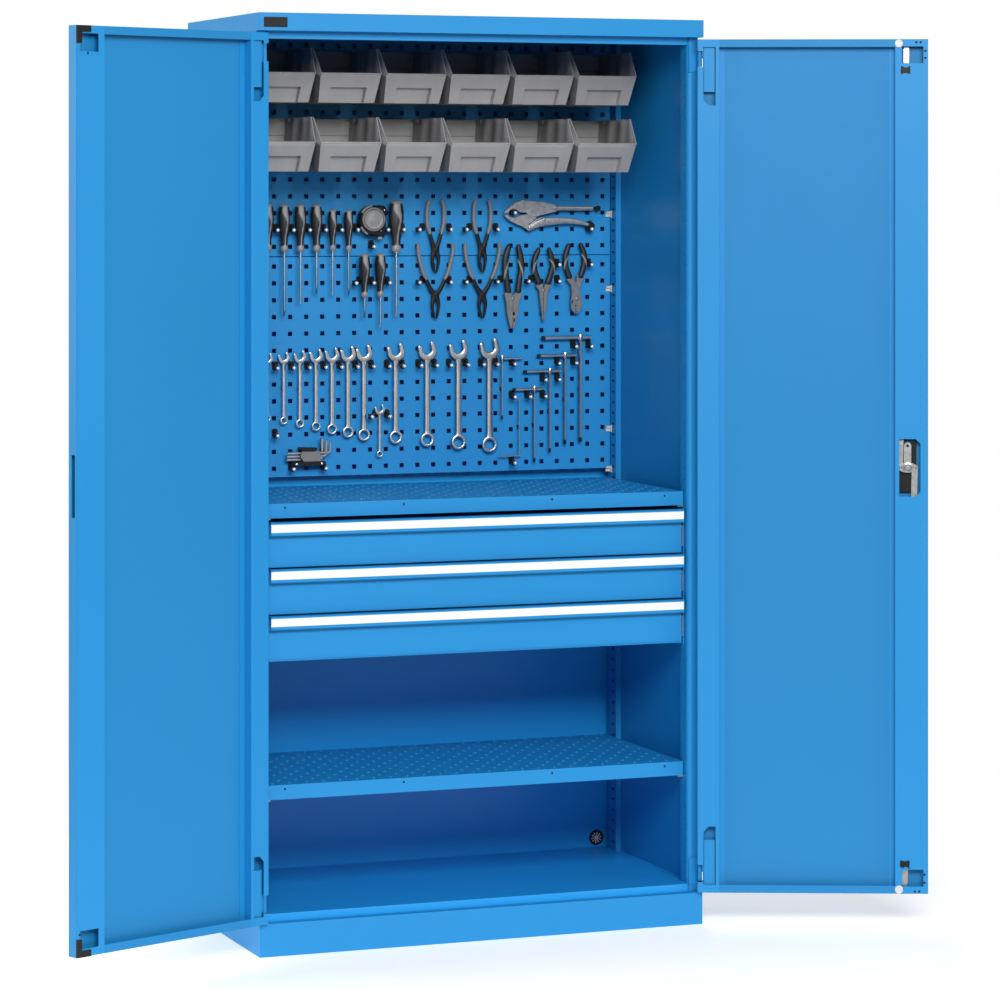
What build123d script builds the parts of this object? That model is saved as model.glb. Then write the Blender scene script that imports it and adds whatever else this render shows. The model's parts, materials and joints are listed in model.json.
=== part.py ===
from build123d import *
import math
import os

os.makedirs("parts", exist_ok=True)

# ---------------------------------------------------------------- carcass sizes
CAP_W = 1023.0          # cap width, the widest part of the carcass
CAP_D = 555.0           # cap depth
TOTAL_H = 2000.0
CAP_H = 38.0
OVERHANG = 2.0          # cap beyond the side panels
PLINTH_H = 70.0
SHEET = 1.5             # carcass sheet
HEAVY = 2.0             # plinth sheet
RETURN = 15.0           # small folded returns
BODY_X = CAP_W / 2 - OVERHANG
BODY_Y = CAP_D / 2 - OVERHANG
WALL_X = BODY_X - SHEET                 # inner face of a side panel
CAP_Z = TOTAL_H - CAP_H                 # underside of the cap
DOOR_T = 24.0
DOOR_GAP = 4.0                          # air between a shut door and the frame
FRAME_Y = -CAP_D / 2 + DOOR_T + DOOR_GAP
BACK_Y = BODY_Y - SHEET                 # rear face of the back panel
LEDGE_D = 24.5
LEDGE_Y = FRAME_Y + LEDGE_D             # rear edge of the front ledges
FLOOR_Z = 86.0
STILE_W = 23.0
OPENING_X = WALL_X - STILE_W            # half of the clear opening
STILE_D = 40.0
STILE_R = 10.0
STILE_HOLE_R = 2.5
STILE_HOLE_Y = FRAME_Y + 18.0
PITCH_Z = 25.0                          # shelf adjustment pitch
RAIL_H = 16.0                           # front top rail
CAP_SIDE_LIP = 14.0
CAP_REAR_LIP = 25.0
PLATE_W = 52.0
PLATE_H = 21.5
PLATE_X = 36.5 - CAP_W / 2              # plate centre from the cap's left end
PLATE_Z = TOTAL_H - 20.3
CROSS_RAIL_W = 60.0
CROSS_RAIL_H = 20.0

# ---------------------------------------------------------------- uprights and perforated panels
UP_WEB_X = WALL_X - 12.5
UP_Y1 = BACK_Y - 24.0
UP_Y0 = UP_Y1 - 50.0
UP_SLOT_Y = UP_Y0 + 19.0
UP_SLOT_D = 16.0
UP_SLOT_H = 4.5
PEG_Y = UP_Y1 - 16.0                    # front face of the perforated panels
PEG_PITCH = 38.0
PEG_HOLE = 10.0
PEG_COLS = int(2 * UP_WEB_X / PEG_PITCH)
PEG_ROWS = 13
PEG_FOLD = 18.0
PEG_SEAM = 6.6
PEG_LOW_TOP = 1451.5                    # top hole row of the lower panel
PEG_SIZE_X = PEG_COLS * PEG_PITCH
PEG_SIZE_Z = PEG_ROWS * PEG_PITCH
PEG_UP_LOW = PEG_LOW_TOP + PEG_PITCH + PEG_SEAM   # bottom hole row of the upper panel
CLIP_ZS = (974.0, 1068.0, 1394.5, 1568.5, 1935.0)
ROSETTE_X = UP_WEB_X - 20.5
ROSETTE_Z = 108.0
ROSETTE_R = 18.0
ROSETTE_HOLE_R = 14.0

# ---------------------------------------------------------------- shelves
SHELF_X = OPENING_X - 2.0
SHELF_Y0 = FRAME_Y + 22.0
SHELF_Y1 = PEG_Y - 2.0
SHELF_FLANGE = 31.0
SHELF_ZS = {"shelf_upper": 955.0, "shelf_lower": 355.0}
SHELF_HOLES = (171.5, SHELF_X - 44.0)
SHELF_HOLE_R = 2.5
SHELF_HOLE_DROP = 9.0
CLIP_T = 3.5
CLIP_W = 14.0

# ---------------------------------------------------------------- drawers
DRAWERS = 3
DRAWER_PITCH = 100.0
DRAWER_Z0 = 620.0                       # underside of the lowest front
FRONT_X = OPENING_X - 8.0
FRONT_H = 96.5
FRONT_Y = FRAME_Y + 17.0                # front face of a drawer front
FRONT_T = 1.5
GRIP_PROUD = 17.5                       # grip profile in front of the drawer front
GRIP_Z0 = 67.0
GRIP_WALL = 1.5
STRIP_Z0 = 75.0
STRIP_H = 17.0
STRIP_T = 1.0
BOX_T = 1.2
BOX_Z0 = 8.0
BOX_H = 68.0
BOX_Y1 = UP_Y0 + 12.0
RUN_L = 440.0                           # length of each runner member
RUN_H = 45.0
RUN_T = 12.7                            # runner pack thickness
RUN_WALL = 1.2
RUN_GAP = 0.3
RUN_Y0 = FRONT_Y + 6.5
RUN_Z = 36.0                            # runner centre above the front's underside
FRAME_PLATE_T = 1.5
FRAME_PLATE_TOP = 918.0
FRAME_PLATE_BOT = 612.0
FRAME_PLATE_Y1 = UP_Y0 + 14.0
FRAME_TAB = 12.0

# ---------------------------------------------------------------- doors, u from the hinge edge, v outward
DOOR_EDGE_X = BODY_X + 0.5
DOOR_W = DOOR_EDGE_X - 1.5
DOOR_Z0 = PLINTH_H + 2.0
DOOR_Z1 = CAP_Z - 5.0
DOOR_SHEET = 1.2
DOOR_Y = FRAME_Y - DOOR_GAP             # inner face of a shut door
OPEN_ANGLE = 156.5
PIN_U = 5.0
PIN_V = 18.0
PIN_R = 3.0
PIN_CLEAR = 0.05
BARREL_R = 4.75
FLANGE = 17.0
HINGE_CH_U = 48.0
FREE_CH_U = DOOR_W - 72.5
CH_FOOT = 12.0
HINGE_ZONE = 36.0
HINGE_CUT_U = 11.5
HINGE_OFFSET = 60.0                     # far side of a hinge zone from the door's end
HINGE_LEAF_T = 2.5
HINGE_FOOT_W = 19.0
HINGE_FOOT_H = 60.0
KNUCKLE_GAP = 0.5
WINDOW_U0 = 13.0
WINDOW_U1 = 40.0
WINDOW_H = 129.0
WINDOW_BEVEL = 12.0
WINDOW_END = 17.0                       # window end from the door's end
BLOCK_U1 = 38.0
BLOCK_V0 = 6.0
BLOCK_H = 112.0
CORNER_CUT_U0 = DOOR_W - 57.5
CORNER_CUT_U1 = DOOR_W - 10.5
CORNER_CUT_H = 37.0
CORNER_CUT_END = 16.0
BUMPER_U = DOOR_W - 64.5
BUMPER_END = 9.5
BUMPER_R = 9.0
BUMPER_T = 3.8
CORNER_LEG = 36.0
CORNER_LEG_W = 13.0

# ---------------------------------------------------------------- lock
LOCK_U = DOOR_W - 45.0
LOCK_Z = (DOOR_Z0 + DOOR_Z1) / 2 - 3.0
LOCK_CUT_U0 = LOCK_U - 18.8
LOCK_CUT_U1 = LOCK_U + 28.2
LOCK_CUT_FLAT = LOCK_U + 17.5
LOCK_CUT_H = 127.0
LOCK_CUT_BEVEL = 10.0
BOW_U = 11.0                             # half width of a crossed slit beside a rod guide
BOW_H = 8.0
BOW_W = 3.0
SLIT_ZS = (DOOR_Z0 + 48.0, LOCK_Z - 91.5, LOCK_Z + 113.5)
SLIT_V0 = 8.0
SLIT_V1 = 16.0
SLIT_H = 20.0
CAM_PIN = 16.0                          # pin circle radius of the lock cam
CAM_L = 46.0
CAM_W = 23.0
CAM_V0 = 8.0
CAM_T = 2.6
TONGUE_L = 56.0
TONGUE_W = 16.0
TONGUE_T = 3.0
TONGUE_HOLE_R = 3.0
BOLT_R = 7.5
BOLT_T = 3.5
ROD_V0 = CAM_V0 + CAM_T + 0.3
ROD_T = 4.0
ROD_W = 13.0
ROD_TIP_W = 8.0
ROD_TIP_L = 20.0
ROD_PIN_R = 3.0
ROD_END = 2.0                           # rod tip to the door's end, unlocked
ROD_REACH_UP = DOOR_Z1 - ROD_END
ROD_REACH_DOWN = DOOR_Z0 + ROD_END
ROD_U_UP = LOCK_U - 2.1                 # where the upper rod's tip stands
ROD_U_DOWN = LOCK_U - 6.5
GUIDE_Z_UP = DOOR_Z1 - 67.5
GUIDE_Z_DOWN = DOOR_Z0 + 62.5
GUIDE_H = 17.0
GUIDE_U0 = LOCK_U - 26.0
GUIDE_U1 = LOCK_U + 18.5
GUIDE_V0 = 7.5
GUIDE_SIDE = 5.0                        # sideways play for the rod's swing
GUIDE_FACE = 0.3
KEEPER_SIDE = 5.5
ROD_SLOT_FACE = 1.2
SPINDLE_R = 5.0
SKIN_CLEAR = 0.5                        # spindle in the door skin
HOUSING_V0 = ROD_V0 + ROD_T + 0.6
HOUSING_W = 40.0
HOUSING_H = 110.0
ESC_T = 3.0
ESC_W = 42.0
ESC_H = 128.0
HANDLE_L = 96.0
HANDLE_W = 24.0
HANDLE_T = 18.0
HANDLE_GAP = 0.4

# ---------------------------------------------------------------- bins
BIN_PITCH = 152.0
BINS = int(2 * OPENING_X / BIN_PITCH)
BIN_X = 75.0                            # half width at the rear rim
BIN_FOOT_X = 64.5
BIN_Y1 = PEG_Y - 34.5                   # rear face, on the rail
BIN_RIM_Y = 10.0
BIN_LIP_Y = -36.0
BIN_FOOT_Y = 0.0
BIN_RIM_Z = 1937.5
BIN_LIP_Z = 1881.5
BIN_FOOT_Z = 1817.0
BIN_WALL = 2.5
BIN_ROW = 152.0
BIN_LIFT = 30.0                         # the open room is cut this far past the rim
BIN_HOOK = 5.0
RAIL_T = 1.5
RAIL_X = BINS * BIN_PITCH / 2
RAIL_TOP = 1928.0
RAIL_DROP = 38.0
RAIL_WEB_Z = 1906.0

# ---------------------------------------------------------------- hooks and tools
GRID_X = -323.0
HOOK_L = 34.0
HOOK_R = 3.4
HOOK_BASE_W = 14.0
HOOK_BASE_H = 20.0
HOOK_BASE_T = 5.0
BALL_R = 4.2
PAD_T = 10.0
PAD_W = 8.0
TOOL_Y = PEG_Y - PAD_T                  # rear plane of the flat tools


# ---------------------------------------------------------------- helpers
def block(x0, x1, y0, y1, z0, z1):
    """Box between two corners."""
    mid = ((x0 + x1) / 2, (y0 + y1) / 2, (z0 + z1) / 2)
    return Pos(*mid) * Box(abs(x1 - x0), abs(y1 - y0), abs(z1 - z0))


def front_plate(face, y_back, thick):
    """Face drawn in x and z, thickened toward the front from y_back."""
    return extrude(Plane.XZ.offset(-y_back) * face, thick)


def side_plate(face, x_from, thick):
    """Face drawn in y and z, thickened toward +x from x_from."""
    return extrude(Plane.YZ.offset(x_from) * face, thick)


def upright(face, z_from, height):
    """Face drawn in x and y, raised from z_from."""
    return extrude(Plane.XY.offset(z_from) * face, height)


def polygon(*points):
    """Flat face inside a closed run of straight edges."""
    return make_face(Polyline(*points, close=True))


def link(p, q, width):
    """Round-ended strip from p to q."""
    dx = q[0] - p[0]
    dy = q[1] - p[1]
    middle = Pos((p[0] + q[0]) / 2, (p[1] + q[1]) / 2)
    place = middle * Rot(0, 0, math.degrees(math.atan2(dy, dx)))
    return place * SlotCenterToCenter(math.hypot(dx, dy), width)


def mirrored(part):
    """The same piece on the other side of the cabinet."""
    return mirror(part, about=Plane.YZ)


def both(part):
    """A piece and its mirror image."""
    return [part, mirrored(part)]


def save(name, *pieces):
    """Write one node, keeping its solids apart."""
    solids = []
    for piece in pieces:
        solids.extend(piece.solids())
    shape = solids[0] if len(solids) == 1 else Compound(children=solids)
    shape.label = name
    export_step(shape, os.path.join("parts", name + ".step"))


def down_cylinder(x, y, radius, z0, z1):
    """Cylinder along z between two heights."""
    return Pos(x, y, (z0 + z1) / 2) * Cylinder(radius, z1 - z0)


def deep_cylinder(x, z, radius, y0, y1):
    """Cylinder along y between two depths."""
    return Pos(x, (y0 + y1) / 2, z) * Rot(90, 0, 0) * Cylinder(radius, y1 - y0)


# ---------------------------------------------------------------- carcass
def keeper_slot(u_tip, z_mid):
    """Clearance slot for a lock rod in a front ledge."""
    x_mid = DOOR_EDGE_X - u_tip
    half = ROD_TIP_W / 2 + KEEPER_SIDE
    y_mid = DOOR_Y - ROD_V0 - ROD_T / 2
    deep = ROD_T / 2 + ROD_SLOT_FACE
    return block(x_mid - half, x_mid + half, y_mid - deep, y_mid + deep, z_mid - 5, z_mid + 5)


def make_plinth():
    """Folded ring with a top ledge, a foot flange and one cross rail."""
    inner_x = BODY_X - HEAVY
    inner_y = BODY_Y - HEAVY
    lip = HEAVY + 20
    ring = block(-BODY_X, BODY_X, -BODY_Y, BODY_Y, 0, PLINTH_H)
    ring -= block(-inner_x, inner_x, -inner_y, inner_y, HEAVY, PLINTH_H - HEAVY)
    ring -= block(-BODY_X + lip, BODY_X - lip, -BODY_Y + lip, BODY_Y - lip, -1, HEAVY + 1)
    ring -= block(-BODY_X + lip, BODY_X - lip, LEDGE_Y, BODY_Y - lip, PLINTH_H - HEAVY - 1, PLINTH_H + 1)
    half = CROSS_RAIL_W / 2
    ring += block(-half, half, -BODY_Y + lip, BODY_Y - lip, 0, HEAVY)
    for x in (-half, half - HEAVY):
        ring += block(x, x + HEAVY, -BODY_Y + lip, BODY_Y - lip, 0, CROSS_RAIL_H)
    return ring - keeper_slot(ROD_U_DOWN, PLINTH_H)


def make_floor():
    """Floor pan with skirts down to the plinth, notched round the front stiles."""
    y1 = BACK_Y - SHEET
    pan = block(-WALL_X, WALL_X, FRAME_Y, y1, PLINTH_H, FLOOR_Z)
    pan -= block(-WALL_X + SHEET, WALL_X - SHEET, FRAME_Y + SHEET, y1 - SHEET,
                 PLINTH_H - 1, FLOOR_Z - SHEET)
    for side in (-1, 1):
        pan -= block(side * OPENING_X, side * (WALL_X + 1), FRAME_Y - 1, FRAME_Y + STILE_D,
                     PLINTH_H - 1, FLOOR_Z + 1)
    return pan


def make_side():
    """Right side panel with its rear return."""
    panel = block(WALL_X, BODY_X, FRAME_Y, BODY_Y, PLINTH_H, CAP_Z)
    panel += block(WALL_X - RETURN, WALL_X, BACK_Y, BODY_Y, PLINTH_H, CAP_Z)
    return panel


def make_stile():
    """Right front stile: rounded tube against the side panel with a hole column."""
    width = WALL_X - OPENING_X
    outer = Pos(OPENING_X + width / 2, FRAME_Y + STILE_D / 2) * Rectangle(width, STILE_D)
    corner = outer.vertices().sort_by(Axis.Y)[:2].sort_by(Axis.X)[0]
    outer = fillet(corner, STILE_R)
    inner = Rectangle(width, STILE_D - 2 * SHEET)
    inner = Pos(OPENING_X + SHEET + width / 2, FRAME_Y + STILE_D / 2) * inner
    corner = inner.vertices().sort_by(Axis.Y)[:2].sort_by(Axis.X)[0]
    inner = fillet(corner, STILE_R - SHEET)
    tube = upright(outer - inner, PLINTH_H, CAP_Z - PLINTH_H)
    count = int((CAP_Z - PLINTH_H) / PITCH_Z) - 1
    first = PLINTH_H + PITCH_Z + 10
    drills = [Pos(OPENING_X + SHEET / 2, STILE_HOLE_Y, first + i * PITCH_Z) * Rot(0, 90, 0)
              * Cylinder(STILE_HOLE_R, SHEET * 2) for i in range(count)]
    return tube - drills


def make_upright():
    """Right rear upright: channel with a slotted web."""
    height = CAP_Z - FLOOR_Z
    mid_z = (CAP_Z + FLOOR_Z) / 2
    web = Pos((UP_Y0 + UP_Y1) / 2, mid_z) * Rectangle(UP_Y1 - UP_Y0, height)
    first = FLOOR_Z + PITCH_Z - 6
    count = int(height / PITCH_Z)
    slots = [Pos(UP_SLOT_Y, first + i * PITCH_Z) * Rectangle(UP_SLOT_D, UP_SLOT_H) for i in range(count)]
    body = side_plate(web - slots, UP_WEB_X, SHEET)
    body += block(UP_WEB_X + SHEET, WALL_X, UP_Y0, UP_Y0 + SHEET, FLOOR_Z, CAP_Z)
    body += block(UP_WEB_X + SHEET, WALL_X, UP_Y1 - SHEET, UP_Y1, FLOOR_Z, CAP_Z)
    return body


def make_back():
    """Back panel with the cable hole."""
    panel = block(-WALL_X, WALL_X, BACK_Y - SHEET, BACK_Y, PLINTH_H, CAP_Z)
    return panel - deep_cylinder(ROSETTE_X, ROSETTE_Z, ROSETTE_HOLE_R, BACK_Y - 5, BACK_Y + 5)


def make_rosette():
    """Round cable rosette with radial slits."""
    face_y = BACK_Y - SHEET
    disc = deep_cylinder(ROSETTE_X, ROSETTE_Z, ROSETTE_R, face_y - 2, face_y)
    disc += deep_cylinder(ROSETTE_X, ROSETTE_Z, ROSETTE_HOLE_R - 0.3, face_y, face_y + SHEET)
    for i in range(5):
        slit = Rot(0, 36 * i, 0) * Box(2 * ROSETTE_HOLE_R - 4, 12, 1.6)
        disc -= Pos(ROSETTE_X, face_y, ROSETTE_Z) * slit
    hub = deep_cylinder(ROSETTE_X, ROSETTE_Z, 3.0, face_y - 2, face_y + SHEET)
    return disc + hub


def make_top_rail():
    """Front top rail: a folded channel between the stiles."""
    z0 = CAP_Z - RAIL_H
    rail = block(-OPENING_X, OPENING_X, FRAME_Y, LEDGE_Y, z0, CAP_Z)
    rail -= block(-OPENING_X - 1, OPENING_X + 1, FRAME_Y + SHEET, LEDGE_Y + 1, z0 + SHEET, CAP_Z - SHEET)
    return rail


def make_cap():
    """Cap pan with inward lips, open inside."""
    cx = CAP_W / 2
    cy = CAP_D / 2
    cap = block(-cx, cx, -cy, cy, CAP_Z, TOTAL_H)
    cap -= block(-cx + SHEET, cx - SHEET, -cy + SHEET, cy - SHEET, CAP_Z + SHEET, TOTAL_H - SHEET)
    lip_x = cx - CAP_SIDE_LIP
    cap -= block(-lip_x, lip_x, LEDGE_Y, cy - CAP_REAR_LIP, CAP_Z - 1, CAP_Z + SHEET + 1)
    return cap - keeper_slot(ROD_U_UP, CAP_Z)


def make_cap_plate():
    """Plain plate on the front of the cap."""
    return front_plate(Pos(PLATE_X, PLATE_Z) * RectangleRounded(PLATE_W, PLATE_H, 2), -CAP_D / 2, 1.0)


def make_peg_panel(low_row):
    """Perforated panel with folded edges, given its lowest hole row."""
    mid_z = low_row + (PEG_SIZE_Z - PEG_PITCH) / 2
    face = Pos(0, mid_z) * Rectangle(PEG_SIZE_X, PEG_SIZE_Z)
    holes = Pos(0, mid_z) * GridLocations(PEG_PITCH, PEG_PITCH, PEG_COLS, PEG_ROWS)
    face -= [place * Rectangle(PEG_HOLE, PEG_HOLE) for place in holes]
    panel = front_plate(face, PEG_Y + SHEET, SHEET)
    fold = Pos(0, mid_z) * Rectangle(PEG_SIZE_X, PEG_SIZE_Z)
    fold -= Pos(0, mid_z) * Rectangle(PEG_SIZE_X - 2 * SHEET, PEG_SIZE_Z - 2 * SHEET)
    return panel + front_plate(fold, PEG_Y + PEG_FOLD, PEG_FOLD - SHEET)


def make_panel_clips():
    """Clips that tie the perforated panels to the uprights."""
    clips = []
    edge = PEG_SIZE_X / 2
    for z in CLIP_ZS:
        clip = block(edge, UP_WEB_X, PEG_Y - 8, PEG_Y + 14, z - 8, z + 8)
        clip += block(edge - 11, UP_WEB_X, PEG_Y - 2, PEG_Y, z - 6, z + 6)
        clip += block(edge - 11, edge, PEG_Y - 7, PEG_Y - 2, z + 2, z + 6)
        clips.extend(both(clip))
    return clips


# ---------------------------------------------------------------- shelves
def make_shelf(top):
    """Pan shelf with flanges on four sides and four holes in the front flange."""
    bottom = top - SHELF_FLANGE
    pan = block(-SHELF_X, SHELF_X, SHELF_Y0, SHELF_Y1, bottom, top)
    pan -= block(-SHELF_X + SHEET, SHELF_X - SHEET, SHELF_Y0 + SHEET, SHELF_Y1 - SHEET,
                 bottom - 1, top - SHEET)
    for x in SHELF_HOLES:
        for side in (-1, 1):
            pan -= deep_cylinder(side * x, top - SHELF_HOLE_DROP, SHELF_HOLE_R, SHELF_Y0 - 1, SHELF_Y0 + 3)
    return pan


def make_shelf_clips():
    """Support brackets under both shelves."""
    clips = []
    for top in SHELF_ZS.values():
        z1 = top - SHELF_FLANGE
        front = block(OPENING_X - CLIP_W, OPENING_X, FRAME_Y + STILE_D - CLIP_W - 2,
                      FRAME_Y + STILE_D - 2, z1 - CLIP_T, z1)
        rear = block(OPENING_X - CLIP_W, UP_WEB_X, UP_Y0 + 5, UP_Y0 + 5 + CLIP_W, z1 - CLIP_T, z1)
        clips.extend(both(front))
        clips.extend(both(rear))
    return clips


# ---------------------------------------------------------------- drawers
PLATE_FACE_X = OPENING_X - FRAME_PLATE_T         # inner face of a drawer frame plate
BOX_X = PLATE_FACE_X - RUN_T                     # outer face of a drawer box
FRONT_BACK_Y = FRONT_Y + FRONT_T


def make_drawer_frame():
    """Right runner plate from the front stile to the rear upright."""
    z0 = FRAME_PLATE_BOT
    z1 = FRAME_PLATE_TOP
    plate = block(PLATE_FACE_X, OPENING_X, FRAME_Y + 22, FRAME_PLATE_Y1, z0, z1)
    plate += block(OPENING_X, UP_WEB_X, FRAME_PLATE_Y1 - FRAME_PLATE_T, FRAME_PLATE_Y1, z0, z1)
    plate += block(UP_WEB_X - FRAME_PLATE_T, UP_WEB_X, FRAME_PLATE_Y1, FRAME_PLATE_Y1 + FRAME_TAB, z0, z1)
    return plate


def channel_right(x_open, x_web, half, wall, y0, z):
    """Runner member: web at x_web, lips reaching to x_open."""
    web0 = min(x_web, x_web + math.copysign(wall, x_open - x_web))
    member = block(web0, web0 + wall, y0, y0 + RUN_L, z - half, z + half)
    for edge in (-half, half - wall):
        member += block(min(x_open, x_web), max(x_open, x_web), y0, y0 + RUN_L, z + edge, z + edge + wall)
    return member


def make_runner_fixed(z):
    """Outer runner member, open toward the drawer."""
    return channel_right(BOX_X + RUN_WALL + RUN_GAP, PLATE_FACE_X, RUN_H / 2, RUN_WALL, RUN_Y0, z)


def make_runner_middle(z):
    """Middle member nested in the fixed one."""
    half = RUN_H / 2 - RUN_WALL - RUN_GAP
    web_x = PLATE_FACE_X - RUN_WALL - RUN_GAP
    return channel_right(BOX_X + RUN_WALL + RUN_GAP, web_x, half, RUN_WALL, RUN_Y0, z)


def make_runner_inner(z):
    """Drawer member on the box side, nested in the middle one."""
    half = RUN_H / 2 - 2 * (RUN_WALL + RUN_GAP)
    far_x = PLATE_FACE_X - 2 * (RUN_WALL + RUN_GAP)
    return channel_right(far_x, BOX_X, half, RUN_WALL, RUN_Y0, z)


def make_drawer_box(z):
    """Sheet drawer box with the inner runner members on its sides."""
    z0 = z + BOX_Z0
    z1 = z0 + BOX_H
    box = block(-BOX_X, BOX_X, FRONT_BACK_Y, BOX_Y1, z0, z1)
    box -= block(-BOX_X + BOX_T, BOX_X - BOX_T, FRONT_BACK_Y + BOX_T, BOX_Y1 - BOX_T, z0 + BOX_T, z1 + 1)
    for side in both(make_runner_inner(z + RUN_Z)):
        box += side
    return box


def make_drawer_front(z):
    """Folded front with side returns and the grip profile along its upper edge."""
    z1 = z + FRONT_H
    grip_y = FRONT_Y - GRIP_PROUD
    front = block(-FRONT_X, FRONT_X, FRONT_Y, FRONT_BACK_Y, z, z1)
    grip = polygon((FRONT_Y, z1), (grip_y + 3, z1), (grip_y, z1 - 2), (grip_y, z + GRIP_Z0 + 2),
                   (grip_y + 3, z + GRIP_Z0), (grip_y + 6, z + GRIP_Z0),
                   (grip_y + 6, z + GRIP_Z0 + GRIP_WALL), (grip_y + GRIP_WALL + 1, z + GRIP_Z0 + GRIP_WALL),
                   (grip_y + GRIP_WALL + 1, z1 - GRIP_WALL), (FRONT_Y, z1 - GRIP_WALL))
    front += side_plate(grip, -FRONT_X, 2 * FRONT_X)
    seat = z + STRIP_Z0
    front -= block(-FRONT_X - 1, FRONT_X + 1, grip_y - 1, grip_y + STRIP_T, seat, seat + STRIP_H)
    front += block(-FRONT_X, FRONT_X, FRONT_Y - 3, FRONT_Y, z, z + FRONT_T)
    return front


def make_strip(z):
    """Label strip seated in the grip profile."""
    grip_y = FRONT_Y - GRIP_PROUD
    seat = z + STRIP_Z0
    return block(-FRONT_X + 1, FRONT_X - 1, grip_y, grip_y + STRIP_T, seat, seat + STRIP_H)


# ---------------------------------------------------------------- doors
def door_block(u0, u1, v0, v1, z0, z1):
    """Box in door coordinates, shut pose, right door."""
    return block(DOOR_EDGE_X - u1, DOOR_EDGE_X - u0, DOOR_Y - v1, DOOR_Y - v0, z0, z1)


def door_peg(u, z, radius, v0, v1):
    """Cylinder square to the door face."""
    return deep_cylinder(DOOR_EDGE_X - u, z, radius, DOOR_Y - v1, DOOR_Y - v0)


def door_plate(points, v0, v1):
    """Plate from (u, z) corners, between two depths."""
    face = polygon(*[(DOOR_EDGE_X - u, z) for u, z in points])
    return front_plate(face, DOOR_Y - v0, v1 - v0)


def opened(part):
    """Right door piece swung to its rest pose."""
    px = DOOR_EDGE_X - PIN_U
    py = DOOR_Y - PIN_V
    return Pos(px, py, 0) * Rot(0, 0, OPEN_ANGLE) * Pos(-px, -py, 0) * part


def hinge_zones():
    """Lower and upper height of the two hinge zones."""
    low = DOOR_Z0 + HINGE_OFFSET - HINGE_ZONE
    high = DOOR_Z1 - HINGE_OFFSET
    return ((low, low + HINGE_ZONE), (high, high + HINGE_ZONE))


def from_ends(offset, height):
    """Height ranges that start at one distance from each end of the door."""
    return ((DOOR_Z0 + offset, DOOR_Z0 + offset + height), (DOOR_Z1 - offset - height, DOOR_Z1 - offset))


def hinge_cut():
    """Room for the fixed leaves along the hinge edge."""
    cuts = []
    for z0, z1 in hinge_zones():
        cuts.append(door_block(-1, HINGE_CUT_U, -1, DOOR_T + 1, z0 - 1, z1 + 1))
    return cuts


def rod_slot(u_tip, z_end):
    """Way out for a lock rod through an end wall of the door."""
    half = ROD_TIP_W / 2 + KEEPER_SIDE
    deep = ROD_SLOT_FACE
    v0 = ROD_V0 - deep
    return door_block(u_tip - half, u_tip + half, v0, v0 + ROD_T + 2 * deep, z_end - 3, z_end + 3)


def make_door_shell(edge_slot, locked):
    """Outer pan of a door: skin, four walls, and flanges at the ends."""
    t = DOOR_SHEET
    shell = door_block(0, DOOR_W, 0, DOOR_T, DOOR_Z0, DOOR_Z1)
    shell -= door_block(t, DOOR_W - t, -1, DOOR_T - t, DOOR_Z0 + t, DOOR_Z1 - t)
    for z0, z1 in ((DOOR_Z0 + t, DOOR_Z0 + FLANGE), (DOOR_Z1 - FLANGE, DOOR_Z1 - t)):
        shell += door_block(HINGE_CH_U, FREE_CH_U, 0, t, z0, z1)
    for cut in hinge_cut():
        shell -= cut
    z0, z1 = edge_slot
    shell -= door_block(DOOR_W - 3, DOOR_W + 1, 3.5, 15, z0, z1)
    if locked:
        shell -= door_peg(LOCK_U, LOCK_Z, SPINDLE_R + SKIN_CLEAR, 0, DOOR_T + 1)
        shell -= rod_slot(ROD_U_UP, DOOR_Z1)
        shell -= rod_slot(ROD_U_DOWN, DOOR_Z0)
    return shell


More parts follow.
